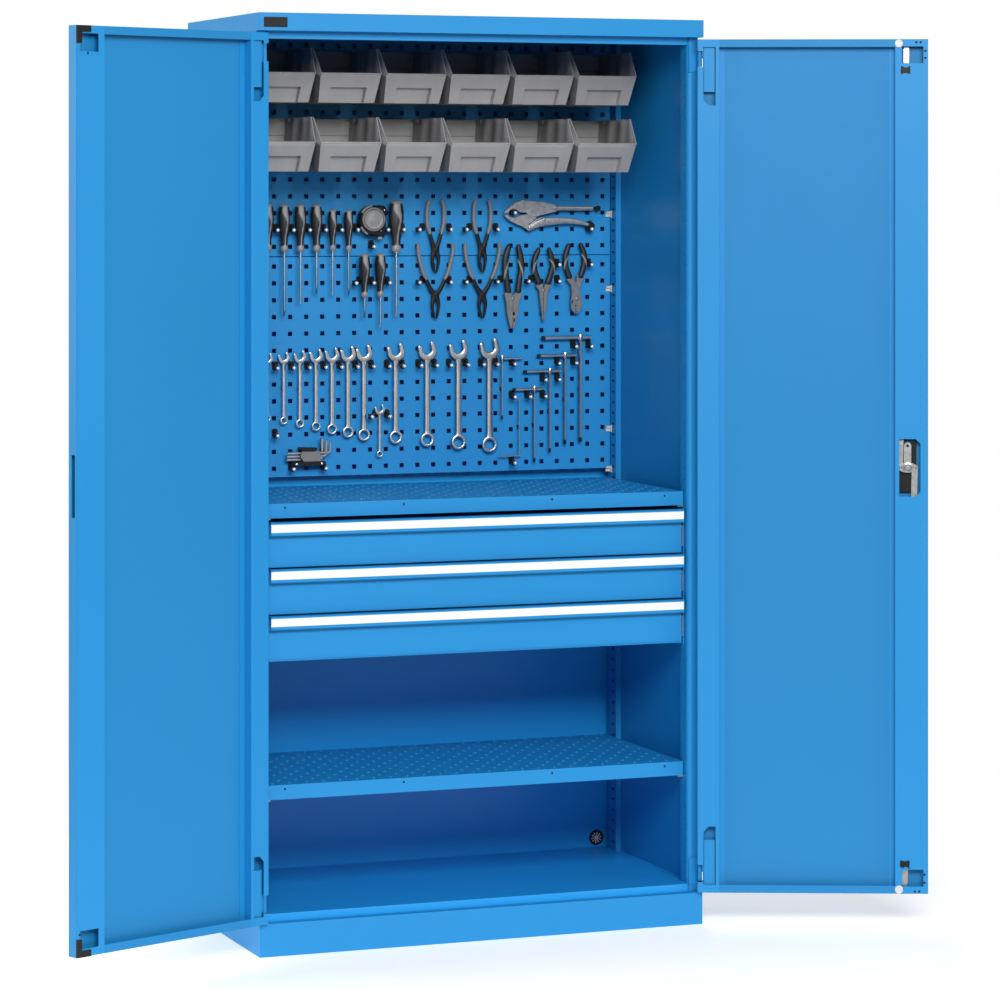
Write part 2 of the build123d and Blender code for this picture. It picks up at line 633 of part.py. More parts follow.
def make_door_frame(locked):
    """The two folded channels on the inner side of a door."""
    t = DOOR_SHEET
    z0 = DOOR_Z0 + t
    z1 = DOOR_Z1 - t
    deep = DOOR_T - t
    hinge = door_block(t, HINGE_CH_U, 0, t, z0, z1)
    hinge += door_block(HINGE_CH_U - t, HINGE_CH_U, t, deep, z0, z1)
    hinge += door_block(HINGE_CH_U, HINGE_CH_U + CH_FOOT, deep - t, deep, z0, z1)
    free = door_block(FREE_CH_U, DOOR_W - t, 0, t, z0, z1)
    free += door_block(FREE_CH_U, FREE_CH_U + t, t, deep, z0, z1)
    free += door_block(FREE_CH_U - CH_FOOT, FREE_CH_U, deep - t, deep, z0, z1)
    for i, (a, b) in enumerate(from_ends(WINDOW_END, WINDOW_H)):
        inner = b if i == 0 else a
        step = -WINDOW_BEVEL if i == 0 else WINDOW_BEVEL
        points = [(WINDOW_U0, a + b - inner), (WINDOW_U1, a + b - inner), (WINDOW_U1, inner),
                  (WINDOW_U0 + WINDOW_BEVEL, inner), (WINDOW_U0, inner + step)]
        hinge -= door_plate(points, -1, t + 1)
    for a, b in from_ends(CORNER_CUT_END, CORNER_CUT_H):
        free -= door_block(CORNER_CUT_U0, CORNER_CUT_U1, -1, t + 1, a, b)
    for cut in hinge_cut():
        hinge -= cut
    if locked:
        h = LOCK_CUT_H / 2
        bulge = h - LOCK_CUT_BEVEL
        points = [(LOCK_CUT_U0, LOCK_Z + h), (LOCK_CUT_FLAT, LOCK_Z + h), (LOCK_CUT_U1, LOCK_Z + bulge),
                  (LOCK_CUT_U1, LOCK_Z - bulge), (LOCK_CUT_FLAT, LOCK_Z - h), (LOCK_CUT_U0, LOCK_Z - h)]
        free -= door_plate(points, -1, t + 1)
        for z in (GUIDE_Z_UP, GUIDE_Z_DOWN):
            mid = (GUIDE_U0 + GUIDE_U1) / 2
            for sign in (-1, 1):
                free -= door_plate([(mid - BOW_U, z - sign * BOW_H), (mid - BOW_U + BOW_W, z - sign * BOW_H),
                                    (mid + BOW_U, z + sign * BOW_H), (mid + BOW_U - BOW_W, z + sign * BOW_H)],
                                   -1, t + 1)
        for z in SLIT_ZS:
            free -= door_block(FREE_CH_U - 1, FREE_CH_U + t + 1, SLIT_V0, SLIT_V1,
                               z - SLIT_H / 2, z + SLIT_H / 2)
    return [hinge, free]


def make_hinge_leaf(z0):
    """Fixed leaf: foot on the stile, arm forward, lower knuckle and pin."""
    h = (HINGE_ZONE - KNUCKLE_GAP) / 2
    x_pin = DOOR_EDGE_X - PIN_U
    y_pin = DOOR_Y - PIN_V
    mid = z0 + HINGE_ZONE / 2
    x0 = x_pin - 1.0
    leaf = block(x0, x0 + HINGE_LEAF_T, y_pin, FRAME_Y, z0, z0 + h)
    leaf += block(x0 + HINGE_LEAF_T - HINGE_FOOT_W, x0 + HINGE_LEAF_T, FRAME_Y - HINGE_LEAF_T, FRAME_Y,
                  mid - HINGE_FOOT_H / 2, mid + HINGE_FOOT_H / 2)
    leaf += down_cylinder(x_pin, y_pin, BARREL_R, z0, z0 + h)
    leaf += down_cylinder(x_pin, y_pin, PIN_R, z0 + h, z0 + HINGE_ZONE)
    return leaf


def make_hinge_block(z0):
    """Door part of a hinge: knuckle, arm and body inside the channel."""
    h = (HINGE_ZONE - KNUCKLE_GAP) / 2
    x_pin = DOOR_EDGE_X - PIN_U
    y_pin = DOOR_Y - PIN_V
    v1 = DOOR_T - DOOR_SHEET
    k0 = z0 + h + KNUCKLE_GAP
    mid = z0 + HINGE_ZONE / 2
    inward = 1 if mid < LOCK_Z else -1
    mid_body = mid + inward * HINGE_ZONE / 2
    body = door_block(14, BLOCK_U1, BLOCK_V0, v1, mid_body - BLOCK_H / 2, mid_body + BLOCK_H / 2)
    body += door_block(PIN_U, 14, v1 - 4, v1, k0, z0 + HINGE_ZONE)
    body += down_cylinder(x_pin, y_pin, BARREL_R, k0, z0 + HINGE_ZONE)
    return body - down_cylinder(x_pin, y_pin, PIN_R + PIN_CLEAR, k0 - 1, z0 + HINGE_ZONE + 1)


def make_bumpers():
    """Round bumpers near the free corners of the right door."""
    pads = []
    for z in (DOOR_Z0 + BUMPER_END, DOOR_Z1 - BUMPER_END):
        pads.append(opened(door_peg(BUMPER_U, z, BUMPER_R, -BUMPER_T, 0)))
    return pads


def make_corner_blocks():
    """L-shaped blocks on the free corners of the left door."""
    blocks = []
    u1 = DOOR_W
    for z, step in ((DOOR_Z0, 1), (DOOR_Z1, -1)):
        points = [(u1, z), (u1, z + step * CORNER_LEG), (u1 - CORNER_LEG_W, z + step * CORNER_LEG),
                  (u1 - CORNER_LEG_W, z + step * CORNER_LEG_W), (u1 - CORNER_LEG, z + step * CORNER_LEG_W),
                  (u1 - CORNER_LEG, z)]
        if step > 0:
            points.reverse()
        blocks.append(mirrored(opened(door_plate(points, -BUMPER_T, 0))))
    return blocks


# ---------------------------------------------------------------- lock
def rod_lean(u_pin, u_tip, run):
    """Lean of a rod in degrees, positive toward the free edge at its far end."""
    return math.degrees(math.asin((u_tip - u_pin) / run))


def make_rod(up):
    """Flat lock rod from its cam pin to its tapered tip, in the unlocked pose."""
    u_pin = LOCK_U - CAM_PIN if up else LOCK_U + CAM_PIN
    reach = ROD_REACH_UP - LOCK_Z if up else LOCK_Z - ROD_REACH_DOWN
    way = 1 if up else -1
    half = ROD_W / 2
    tip = ROD_TIP_W / 2
    face = Circle(half) + Pos(0, way * (reach - ROD_TIP_L) / 2) * Rectangle(ROD_W, reach - ROD_TIP_L)
    taper = [(-half, way * (reach - ROD_TIP_L)), (half, way * (reach - ROD_TIP_L)),
             (tip, way * (reach - ROD_TIP_L / 2)), (tip, way * reach),
             (-tip, way * reach), (-tip, way * (reach - ROD_TIP_L / 2))]
    face += polygon(*taper)
    face -= Circle(ROD_PIN_R + PIN_CLEAR)
    lean = rod_lean(u_pin, ROD_U_UP if up else ROD_U_DOWN, reach)
    turn = lean if up else -lean
    face = Pos(DOOR_EDGE_X - u_pin, LOCK_Z) * Rot(0, 0, turn) * face
    return opened(front_plate(face, DOOR_Y - ROD_V0, ROD_T))


def make_guides():
    """Guide blocks for both rods, on the skin."""
    v1 = DOOR_T - DOOR_SHEET
    guides = []
    for z, u in ((GUIDE_Z_UP, ROD_U_UP - 2.2), (GUIDE_Z_DOWN, ROD_U_DOWN + 2.6)):
        half = ROD_W / 2 + GUIDE_SIDE
        guide = door_block(GUIDE_U0, GUIDE_U1, GUIDE_V0, v1, z - GUIDE_H / 2, z + GUIDE_H / 2)
        guide -= door_block(u - half, u + half, ROD_V0 - GUIDE_FACE, ROD_V0 + ROD_T + GUIDE_FACE,
                            z - GUIDE_H, z + GUIDE_H)
        guides.append(guide)
    return guides


def make_housing():
    """Lock housing inside the door, with the spindle bore, and the outer escutcheon."""
    v1 = DOOR_T - DOOR_SHEET
    body = door_block(LOCK_U - HOUSING_W / 2, LOCK_U + HOUSING_W / 2, HOUSING_V0, v1,
                      LOCK_Z - HOUSING_H / 2, LOCK_Z + HOUSING_H / 2)
    face = Pos(DOOR_EDGE_X - LOCK_U, LOCK_Z) * RectangleRounded(ESC_W, ESC_H, 8)
    plate = front_plate(face, DOOR_Y - DOOR_T, ESC_T)
    bore = door_peg(LOCK_U, LOCK_Z, SPINDLE_R + PIN_CLEAR, 0, DOOR_T + 2 * ESC_T)
    return [body - bore, plate - bore]


def make_handle():
    """Turn handle on the outer side."""
    v0 = DOOR_T + ESC_T + HANDLE_GAP
    face = Pos(DOOR_EDGE_X - LOCK_U, LOCK_Z) * SlotOverall(HANDLE_L, HANDLE_W, rotation=90)
    grip = front_plate(face, DOOR_Y - v0, HANDLE_T)
    edges = grip.faces().sort_by(Axis.Y)[0].edges()
    return fillet(edges, 4)


def make_spindle():
    """Spindle with the lens-shaped cam and its two rod pins."""
    shaft = door_peg(LOCK_U, LOCK_Z, SPINDLE_R, CAM_V0, DOOR_T + ESC_T + HANDLE_GAP)
    x = DOOR_EDGE_X - LOCK_U
    radius = (CAM_L * CAM_L / 4 + CAM_W * CAM_W / 4) / CAM_W
    shift = radius - CAM_W / 2
    lens = (Pos(x, LOCK_Z + shift) * Circle(radius)) & (Pos(x, LOCK_Z - shift) * Circle(radius))
    lens += Pos(x, LOCK_Z) * SlotCenterToCenter(2 * CAM_PIN, ROD_PIN_R * 3)
    cam = front_plate(lens, DOOR_Y - CAM_V0, CAM_T)
    for side in (-1, 1):
        cam += door_peg(LOCK_U + side * CAM_PIN, LOCK_Z, ROD_PIN_R, CAM_V0, ROD_V0 + ROD_T)
    return shaft + cam


def make_tongue():
    """Latch tongue on the cam, with its bolt head."""
    v1 = CAM_V0
    v0 = v1 - TONGUE_T
    x = DOOR_EDGE_X - LOCK_U
    face = link((x, LOCK_Z), (x, LOCK_Z + TONGUE_L - TONGUE_W / 2), TONGUE_W)
    face -= Pos(x, LOCK_Z + TONGUE_L - TONGUE_W / 2) * Circle(TONGUE_HOLE_R)
    tongue = front_plate(face, DOOR_Y - v0, TONGUE_T)
    bolt = Pos(x, LOCK_Z) * RegularPolygon(BOLT_R, 6)
    return tongue + front_plate(bolt, DOOR_Y - v0 + BOLT_T, BOLT_T)


# ---------------------------------------------------------------- bins
def bin_solid(x, profile, foot, top, z0, z1):
    """Side profile cut to a section that narrows toward the foot."""
    section = polygon((x - foot, z0), (x + foot, z0), (x + top, z1), (x - top, z1))
    depth = BIN_Y1 - BIN_LIP_Y + 2
    return side_plate(profile, x - BIN_X, 2 * BIN_X) & front_plate(section, BIN_Y1 + 1, depth)


def bin_outside(x, z):
    """Closed outer shape of a bin."""
    foot_z = z + BIN_FOOT_Z
    rim_z = z + BIN_RIM_Z
    profile = polygon((BIN_Y1, foot_z), (BIN_FOOT_Y, foot_z), (BIN_LIP_Y, z + BIN_LIP_Z),
                      (BIN_RIM_Y, rim_z), (BIN_Y1, rim_z))
    return bin_solid(x, profile, BIN_FOOT_X, BIN_X, foot_z, rim_z)


def bin_inside(x, z):
    """Room inside a bin, open at the top and over the front lip."""
    floor_z = z + BIN_FOOT_Z + BIN_WALL
    over_z = z + BIN_RIM_Z + BIN_LIFT
    slope = (BIN_X - BIN_FOOT_X) / (BIN_RIM_Z - BIN_FOOT_Z)
    foot = BIN_FOOT_X - BIN_WALL
    profile = polygon((BIN_Y1 - BIN_WALL, floor_z), (BIN_FOOT_Y + BIN_WALL, floor_z),
                      (BIN_LIP_Y + BIN_WALL, z + BIN_LIP_Z), (BIN_LIP_Y + BIN_WALL, over_z),
                      (BIN_Y1 - BIN_WALL, over_z))
    return bin_solid(x, profile, foot, foot + slope * (over_z - floor_z), floor_z, over_z)


def make_bin(x, z):
    """Open-fronted storage bin with its rear hook."""
    body = bin_outside(x, z) - bin_inside(x, z)
    top = z + BIN_RIM_Z
    rail_top = z + RAIL_TOP
    half = BIN_X - 18
    hook = block(x - half, x + half, BIN_Y1 - BIN_WALL, BIN_Y1 + RAIL_T + BIN_HOOK, rail_top + 0.5, top)
    hook += block(x - half, x + half, BIN_Y1 + RAIL_T + 1, BIN_Y1 + RAIL_T + BIN_HOOK, rail_top - 12, top)
    return body + hook


def make_bin_rail(z):
    """Rail that carries one row of bins."""
    top = z + RAIL_TOP
    bottom = top - RAIL_DROP
    rail = block(-RAIL_X, RAIL_X, BIN_Y1, BIN_Y1 + RAIL_T, bottom, top)
    web = z + RAIL_WEB_Z
    rail += block(-RAIL_X, RAIL_X, BIN_Y1 + RAIL_T, PEG_Y, web, web + RAIL_T)
    rail += block(-RAIL_X, RAIL_X, PEG_Y - RAIL_T, PEG_Y, bottom, web)
    return rail


# ---------------------------------------------------------------- hooks and tools
def grid_x(k):
    """Hole column position."""
    return GRID_X + PEG_PITCH * k


def low_z(r):
    """Hole row height on the lower panel, counted down."""
    return PEG_LOW_TOP - PEG_PITCH * r


def high_z(m):
    """Hole row height on the upper panel, counted up from its lowest row."""
    return PEG_UP_LOW + PEG_PITCH * m


HOOKS_HIGH = {1: (0, 1, 2, 3, 4, 5, 7, 8, 9, 11, 12, 14, 20), 0: (6,), 2: (15,)}
HOOKS_LOW = {0: (18, 20), 1: (5, 6, 7, 9, 11, 12, 14, 16, 18), 5: (19, 20),
             6: (*range(16), 18, 19), 7: (17, 18), 8: (15, 16, 17),
             9: (6, 7), 10: (0,), 12: (15,)}


def hook_places():
    """Every hook position on the two panels."""
    places = []
    for m, columns in HOOKS_HIGH.items():
        places += [(grid_x(k), high_z(m)) for k in columns]
    for r, columns in HOOKS_LOW.items():
        places += [(grid_x(k), low_z(r)) for k in columns]
    places += [(grid_x(k), low_z(12)) for k in (1, 3)]
    return places


def make_hook(x, z):
    """Hook: base on the panel and a straight arm."""
    base = front_plate(Pos(x, z) * RectangleRounded(HOOK_BASE_W, HOOK_BASE_H, 3), PEG_Y, HOOK_BASE_T)
    return base + deep_cylinder(x, z, HOOK_R, PEG_Y - HOOK_L, PEG_Y - HOOK_BASE_T)


def make_ball(x, z):
    """Ball tip seated on the end of a hook arm."""
    y_end = PEG_Y - HOOK_L
    ball = Pos(x, y_end - BALL_R + 1.0, z) * Sphere(BALL_R)
    return ball - block(x - 9, x + 9, y_end, y_end + 9, z - 9, z + 9)


def pad(x, z, y_front):
    """Keeper pad between the panel and a hung tool."""
    half = PAD_W / 2
    return block(x - half, x + half, y_front, PEG_Y, z - half, z + half)


WRENCHES = (-0.5, 0.5, 1.5, 2.5, 3.5, 4.5, 5.5, 7.5, 9.5, 11.5, 13.5)
WRENCH_TOP = 1256.0
WRENCH_RISE = 2.7
WRENCH_L = 152.0
WRENCH_STEP = 11.1


def make_wrench(x, top, length, scale):
    """Combination wrench: open jaw above, ring below."""
    jaw = 12.0 + 12.0 * scale
    ring = 7.5 + 11.5 * scale
    jaw_z = top - jaw * 0.95
    ring_z = top - length + ring
    face = link((x, ring_z + ring), (x, jaw_z - jaw * 0.6), 7.0 + 7.0 * scale)
    head = Pos(x, jaw_z) * Circle(jaw)
    gap = SlotOverall(jaw * 2.4, jaw * 0.95, rotation=90)
    head -= Pos(x, jaw_z) * Rot(0, 0, -15) * Pos(0, jaw * 0.75) * gap
    face += head + Pos(x, ring_z) * Circle(ring)
    face -= Pos(x, ring_z) * Rot(0, 0, 15) * RegularPolygon(ring * 0.66, 12)
    return front_plate(face, TOOL_Y, 5.0 + 3.0 * scale)


def make_wrenches():
    """The whole graded row and the small one below it."""
    tools = []
    pads = []
    last = len(WRENCHES) - 1
    for i, k in enumerate(WRENCHES):
        x = grid_x(k)
        top = WRENCH_TOP + WRENCH_RISE * i
        length = WRENCH_L + WRENCH_STEP * i
        tools.append(make_wrench(x, top, length, i / last))
        pads.append(pad(x, top - length / 2, TOOL_Y))
    x = grid_x(6.5)
    tools.append(make_wrench(x, low_z(8.3), 120.0, 0.0))
    pads.append(pad(x, low_z(10), TOOL_Y))
    return tools, pads


DRIVERS = ((-0.5, 1325.0), (0.5, 1334.0), (1.5, 1334.0), (2.5, 1362.0), (3.5, 1386.0),
           (4.5, 1384.0), (7.5, 1300.0))
SHORT_DRIVERS = ((5.5, 1330.0), (6.5, 1330.0))
DRIVER_Y = PEG_Y - 26.0
HANDLE_LEN = 101.0
HANDLE_TOP = 1588.0
SHORT_TOP = 1470.0


def driver_handle(x, top, radius):
    """Waisted round screwdriver handle."""
    r = radius
    low = -HANDLE_LEN
    profile = polygon((0, 0), (r * 0.7, 0), (r, -6), (r, low * 0.55), (r * 0.62, low * 0.7),
                      (r * 0.62, low * 0.82), (r * 0.8, low * 0.88), (r * 0.4, low), (0, low))
    return Pos(x, DRIVER_Y, top) * revolve(Plane.XZ * profile, Axis.Z)


def make_drivers():
    """Screwdriver handles, blades and keeper pads."""
    handles = []
    blades = []
    pads = []
    rows = [(k, tip, HANDLE_TOP, 11.0) for k, tip in DRIVERS]
    rows += [(k, tip, SHORT_TOP, 10.5) for k, tip in SHORT_DRIVERS]
    for k, tip, top, radius in rows:
        x = grid_x(k)
        handles.append(driver_handle(x, top, radius))
        blades.append(down_cylinder(x, DRIVER_Y, 2.4, tip, top - HANDLE_LEN))
        pads.append(pad(x, top - 30, DRIVER_Y + radius + 0.2))
    return handles, blades, pads


def chain(points, width):
    """Band through a run of points."""
    face = link(points[0], points[1], width)
    for p, q in zip(points[1:], points[2:]):
        face += link(p, q, width)
    return face


def plier_arms(x, z, spread, bow, length, joint, width):
    """Both handles from above the joint up to their ends, with an outward bow."""
    arms = []
    for side in (-1, 1):
        points = [(x + side * joint, z), (x + side * bow, z + length * 0.45),
                  (x + side * spread, z + length)]
        arms.append(chain(points, width))
    return arms


def make_pliers():
    """Three pliers and four retaining ring pliers, split by material."""
    steel = []
    black = []
    grey = []
    pads = []
    for k, top, bottom, spread, nose, width in ((14.85, 1499.0, 1307.0, 14.0, 7.0, 14.0),
                                                (16.9, 1491.0, 1321.0, 15.0, 4.0, 12.0),
                                                (18.9, 1500.0, 1333.0, 18.0, 11.0, 13.0)):
        x = grid_x(k)
        pivot = bottom + (top - bottom) * 0.36
        jaw = polygon((x - nose / 2, bottom), (x + nose / 2, bottom), (x + 15, pivot), (x + 11, pivot + 20),
                      (x - 11, pivot + 20), (x - 15, pivot))
        steel.append(front_plate(jaw, TOOL_Y, 9.0))
        arms = plier_arms(x, pivot + 27, spread, spread + 5, top - pivot - 27 - width / 2, 10.0, width)
        cut = Pos(x, pivot + 10) * Rectangle(70, 20)
        for arm in arms:
            black.append(front_plate(arm - cut, TOOL_Y - 1.0, 9.0))
        pads.append(pad(x, pivot, TOOL_Y))
        pads += [pad(x + side * (spread + 1), pivot + 60, TOOL_Y - 1.0) for side in (-1, 1)]
    for k, top, bottom, spread in ((10, 1604.0, 1435.0, 20.0), (13, 1604.0, 1435.0, 20.0),
                                   (10, 1503.0, 1330.0, 40.0), (13, 1503.0, 1330.0, 40.0)):
        x = grid_x(k)
        pivot = bottom + (top - bottom) * 0.3
        nose = link((x - 3.2, bottom + 3), (x - 5, pivot), 5.0)
        nose += link((x + 3.2, bottom + 3), (x + 5, pivot), 5.0)
        nose += Pos(x, pivot) * Circle(11)
        split = pivot + 30
        for side in (-1, 1):
            nose += link((x, pivot), (x + side * spread * 0.55, split), 7.0)
        nose -= Pos(x, split + 10) * Rectangle(100, 20)
        black.append(front_plate(nose, TOOL_Y, 7.0))
        for side in (-1, 1):
            points = [(x + side * spread * 0.52, split - 4), (x + side * spread * 0.95, split + 40),
                      (x + side * spread, top - 4)]
            arm = chain(points, 8.0) - Pos(x, split - 10) * Rectangle(100, 20)
            grey.append(front_plate(arm, TOOL_Y, 7.0))
        pads.append(pad(x, pivot, TOOL_Y))
    return steel, black, grey, pads


def make_locking_pliers():
    """Locking pliers lying across the panel."""
    z = 1555.0
    x0 = grid_x(14.25)
    x1 = grid_x(20.4)
    body = polygon((x0, z + 5), (x0 + 18, z + 22), (x0 + 42, z + 32), (x0 + 130, z + 22), (x1 - 14, z + 22),
                   (x1 - 14, z + 12), (x0 + 120, z + 6), (x0 + 100, z + 2), (x0 + 190, z - 10),
                   (x0 + 204, z - 14), (x0 + 110, z - 12), (x0 + 62, z - 27), (x0 + 20, z - 12))
    body -= Pos(grid_x(15), high_z(2)) * Circle(9)
    steel = front_plate(body, TOOL_Y, 12.0)
    screw = Cylinder(6.0, 22, align=(Align.CENTER, Align.CENTER, Align.MIN))
    knob = Pos(x1 - 14, TOOL_Y - 6, z + 17) * Rot(0, 90, 0) * screw
    return steel, knob, [pad(x0 + 60, z, TOOL_Y), pad(x0 + 150, z + 12, TOOL_Y)]


KEYS = ((14.3, 14.2, 15.6, 1236.0, 1096.0, 2.0), (16.4, 15.0, 16.9, 1164.0, 996.0, 2.5),
        (17.4, 15.7, 18.1, 1205.0, 1018.0, 3.0), (18.4, 16.6, 19.1, 1241.0, 1036.0, 3.0),
        (19.4, 16.9, 20.1, 1282.0, 1041.0, 3.5))


LOW_KEY_X = 15.4                        # key standing on its bar, in hole columns
LOW_KEY_Z = 1011.0
LOW_KEY_TOP = 1144.0
LOW_KEY_R = 1.6


def make_keys():
    """T-handled keys: a bar across and a stem down, and a thin one the other way up."""
    keys = []
    pads = []
    y = TOOL_Y - 4.0
    for k, left, right, bar_z, tip, radius in KEYS:
        x = grid_x(k)
        x0 = grid_x(left)
        x1 = grid_x(right)
        key = down_cylinder(x, y, radius, tip, bar_z)
        key += Pos((x0 + x1) / 2, y, bar_z) * Rot(0, 90, 0) * Cylinder(radius + 0.5, x1 - x0)
        keys.append(key)
        pads.append(pad(x, (bar_z + tip) / 2, y + radius + 0.2))
    x = grid_x(LOW_KEY_X)
    x0 = grid_x(LOW_KEY_X - 1.3)
    radius = LOW_KEY_R
    key = down_cylinder(x, y, radius, LOW_KEY_Z, LOW_KEY_TOP)
    key += Pos((x0 + x) / 2 + radius, y, LOW_KEY_Z) * Rot(0, 90, 0) * Cylinder(radius, x - x0 + 4 * radius)
    keys.append(key)
    pads.append(pad(x, (LOW_KEY_Z + LOW_KEY_TOP) / 2, y + radius + 0.2))
    return keys, pads


def make_key_holder():
    """Folding holder lying on two hooks, with its bent keys."""
    x0 = grid_x(0.95)
    x1 = grid_x(2.95)
    z = low_z(11.35)
    frame = block(x0, x1, TOOL_Y - 22, TOOL_Y, z - 18, z - 9)
    frame += block(x0 + 18, x1 - 18, TOOL_Y - 22, TOOL_Y, z + 14, z + 22)
    frame += block(x0 + 18, x1 - 18, TOOL_Y - 4, TOOL_Y, z - 18, z + 22)
    keys = []
    for i in range(3):
        zk = z - 4 + 7.4 * i
        yk = TOOL_Y - 8 - 3 * i
        xk = x1 + 2 + 6 * i
        radius = 3.0 - 0.2 * i
        key = Pos((x0 - 12 + xk) / 2, yk, zk) * Rot(0, 90, 0) * Cylinder(radius, xk - x0 + 12)
        key += Pos(xk, yk, zk) * Sphere(radius)
        key += down_cylinder(xk, yk, radius, zk, zk + 34 - 7.4 * i)
        keys.append(key)
    return frame, keys, [pad((x0 + x1) / 2, z, TOOL_Y)]


def make_tape():
    """Tape measure case with a raised round face."""
    x = grid_x(5.98)
    z = 1552.0
    case = front_plate(Pos(x, z) * RectangleRounded(56, 66, 16), TOOL_Y, 26.0)
    case += front_plate(Pos(x, z + 3) * Circle(22), TOOL_Y - 26.0, 3.0)
    return case, [pad(x, z, TOOL_Y)]


# ---------------------------------------------------------------- export
def export_carcass():
    """Nodes of the fixed cabinet."""
    save("plinth", make_plinth())
    save("floor_panel", make_floor())
    side = make_side()
    save("side_panel_right", side)
    save("side_panel_left", mirrored(side))
    save("front_stiles", *both(make_stile()))
    save("rear_uprights", *both(make_upright()))
    save("back_panel", make_back())
    save("cable_rosette", make_rosette())
    save("front_top_rail", make_top_rail())
    save("top_cap", make_cap())
    save("cap_plate", make_cap_plate())
    save("peg_panel_upper", make_peg_panel(PEG_UP_LOW))
    save("peg_panel_lower", make_peg_panel(PEG_LOW_TOP - PEG_PITCH * (PEG_ROWS - 1)))
    save("panel_clips", *make_panel_clips())
    for name, top in SHELF_ZS.items():
        save(name, make_shelf(top))
    save("shelf_clips", *make_shelf_clips())


def export_drawers():
    """Nodes of the three drawers and their runners."""
    save("drawer_frames", *both(make_drawer_frame()))
    fixed = []
    for i in range(DRAWERS):
        z = DRAWER_Z0 + i * DRAWER_PITCH
        tag = str(DRAWERS - i)
        save("drawer_box_" + tag, make_drawer_box(z))
        save("drawer_front_" + tag, make_drawer_front(z))
        save("label_strip_" + tag, make_strip(z))
        save("runner_middle_" + tag, *both(make_runner_middle(z + RUN_Z)))
        fixed += both(make_runner_fixed(z + RUN_Z))
    save("runners_fixed", *fixed)


def export_doors():
    """Nodes of both doors, in the open rest pose."""
    right_slot = (LOCK_Z - TONGUE_W, LOCK_Z + TONGUE_L - 6)
    left_slot = (LOCK_Z - 51, LOCK_Z + 76)
    save("door_shell_right", opened(make_door_shell(right_slot, True)))
    save("door_shell_left", mirrored(opened(make_door_shell(left_slot, False))))
    save("door_frame_right", *[opened(p) for p in make_door_frame(True)])
    save("door_frame_left", *[mirrored(opened(p)) for p in make_door_frame(False)])
    leaves = []
    blocks = []
    for z0, _ in hinge_zones():
        leaves += both(make_hinge_leaf(z0))
        blocks.append(opened(make_hinge_block(z0)))
    save("hinge_leaves", *leaves)
    save("hinge_blocks_right", *blocks)
    save("hinge_blocks_left", *[mirrored(b) for b in blocks])
    save("door_bumpers", *make_bumpers())
    save("corner_blocks", *make_corner_blocks())
    save("lock_housing", *[opened(p) for p in make_guides() + make_housing()])
    save("turn_handle", opened(make_handle()))
    save("lock_spindle", opened(make_spindle()))
    save("lock_tongue", opened(make_tongue()))
    save("lock_rod_upper", make_rod(True))
    save("lock_rod_lower", make_rod(False))


def export_kit():
    """Nodes of the bins, hooks and tools."""
    xs = [(i - (BINS - 1) / 2) * BIN_PITCH for i in range(BINS)]
    save("bins_upper", *[make_bin(x, 0) for x in xs])
    save("bins_lower", *[make_bin(x, -BIN_ROW) for x in xs])
    save("bin_rails", make_bin_rail(0), make_bin_rail(-BIN_ROW))
    wrenches, pads = make_wrenches()
    save("wrenches", *wrenches)
    handles, blades, more = make_drivers()
    pads += more
    save("screwdriver_handles", *handles)
    save("screwdriver_blades", *blades)
    steel, black, grey, more = make_pliers()
    pads += more
    jaws, knob, more = make_locking_pliers()
    pads += more
    save("pliers_steel", *steel, jaws)
    save("pliers_black", *black, knob)
    save("pliers_grey_grips", *grey)
    keys, more = make_keys()
    pads += more
    holder, bent, more = make_key_holder()
    pads += more
    save("hex_keys", *keys, *bent)
    save("key_holder", holder)
    case, more = make_tape()
    pads += more
    save("tape_measure", case)
    places = hook_places()
    save("tool_hooks", *[make_hook(x, z) for x, z in places], *pads)
    save("hook_balls", *[make_ball(x, z) for x, z in places])


export_carcass()
export_drawers()
export_doors()
export_kit()
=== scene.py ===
"""Open workshop cabinet: finishes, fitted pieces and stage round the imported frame."""
import json
import math

import bmesh
import bpy
import mathutils
import numpy as np
from bpy.props import FloatProperty, FloatVectorProperty, IntProperty, PointerProperty
from bpy.types import Operator, Panel, PropertyGroup
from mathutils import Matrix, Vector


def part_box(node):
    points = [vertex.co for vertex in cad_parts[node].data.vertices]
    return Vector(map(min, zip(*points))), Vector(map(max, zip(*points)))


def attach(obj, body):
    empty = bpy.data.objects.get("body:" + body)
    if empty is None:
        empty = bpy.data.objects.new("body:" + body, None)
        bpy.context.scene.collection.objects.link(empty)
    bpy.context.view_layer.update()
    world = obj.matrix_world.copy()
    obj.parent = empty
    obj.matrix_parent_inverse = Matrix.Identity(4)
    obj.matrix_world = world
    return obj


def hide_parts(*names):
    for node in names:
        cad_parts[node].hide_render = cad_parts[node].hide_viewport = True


bl_info = {
    "name": "Workshop Cabinet",
    "version": (1, 0, 0),
    "blender": (4, 5, 0),
    "location": "3D View > Sidebar > Cabinet",
    "description": "Finishes, bins, tools and fittings of an open workshop cabinet",
    "category": "Object",
}

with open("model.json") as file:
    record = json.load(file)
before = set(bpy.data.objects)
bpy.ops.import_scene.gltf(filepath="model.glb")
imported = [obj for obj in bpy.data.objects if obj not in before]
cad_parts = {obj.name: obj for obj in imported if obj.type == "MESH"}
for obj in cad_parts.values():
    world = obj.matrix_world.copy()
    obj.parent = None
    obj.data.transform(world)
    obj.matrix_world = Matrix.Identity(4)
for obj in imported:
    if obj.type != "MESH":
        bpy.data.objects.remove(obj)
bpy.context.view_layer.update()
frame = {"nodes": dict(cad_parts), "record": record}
NODES = frame["nodes"]
MM = 0.001


# ---------------------------------------------------------------- places shared with the frame, in mm
def corner(node, which):
    """One corner of a node's box, in millimetres."""
    return np.array(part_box(node)[which]) / MM


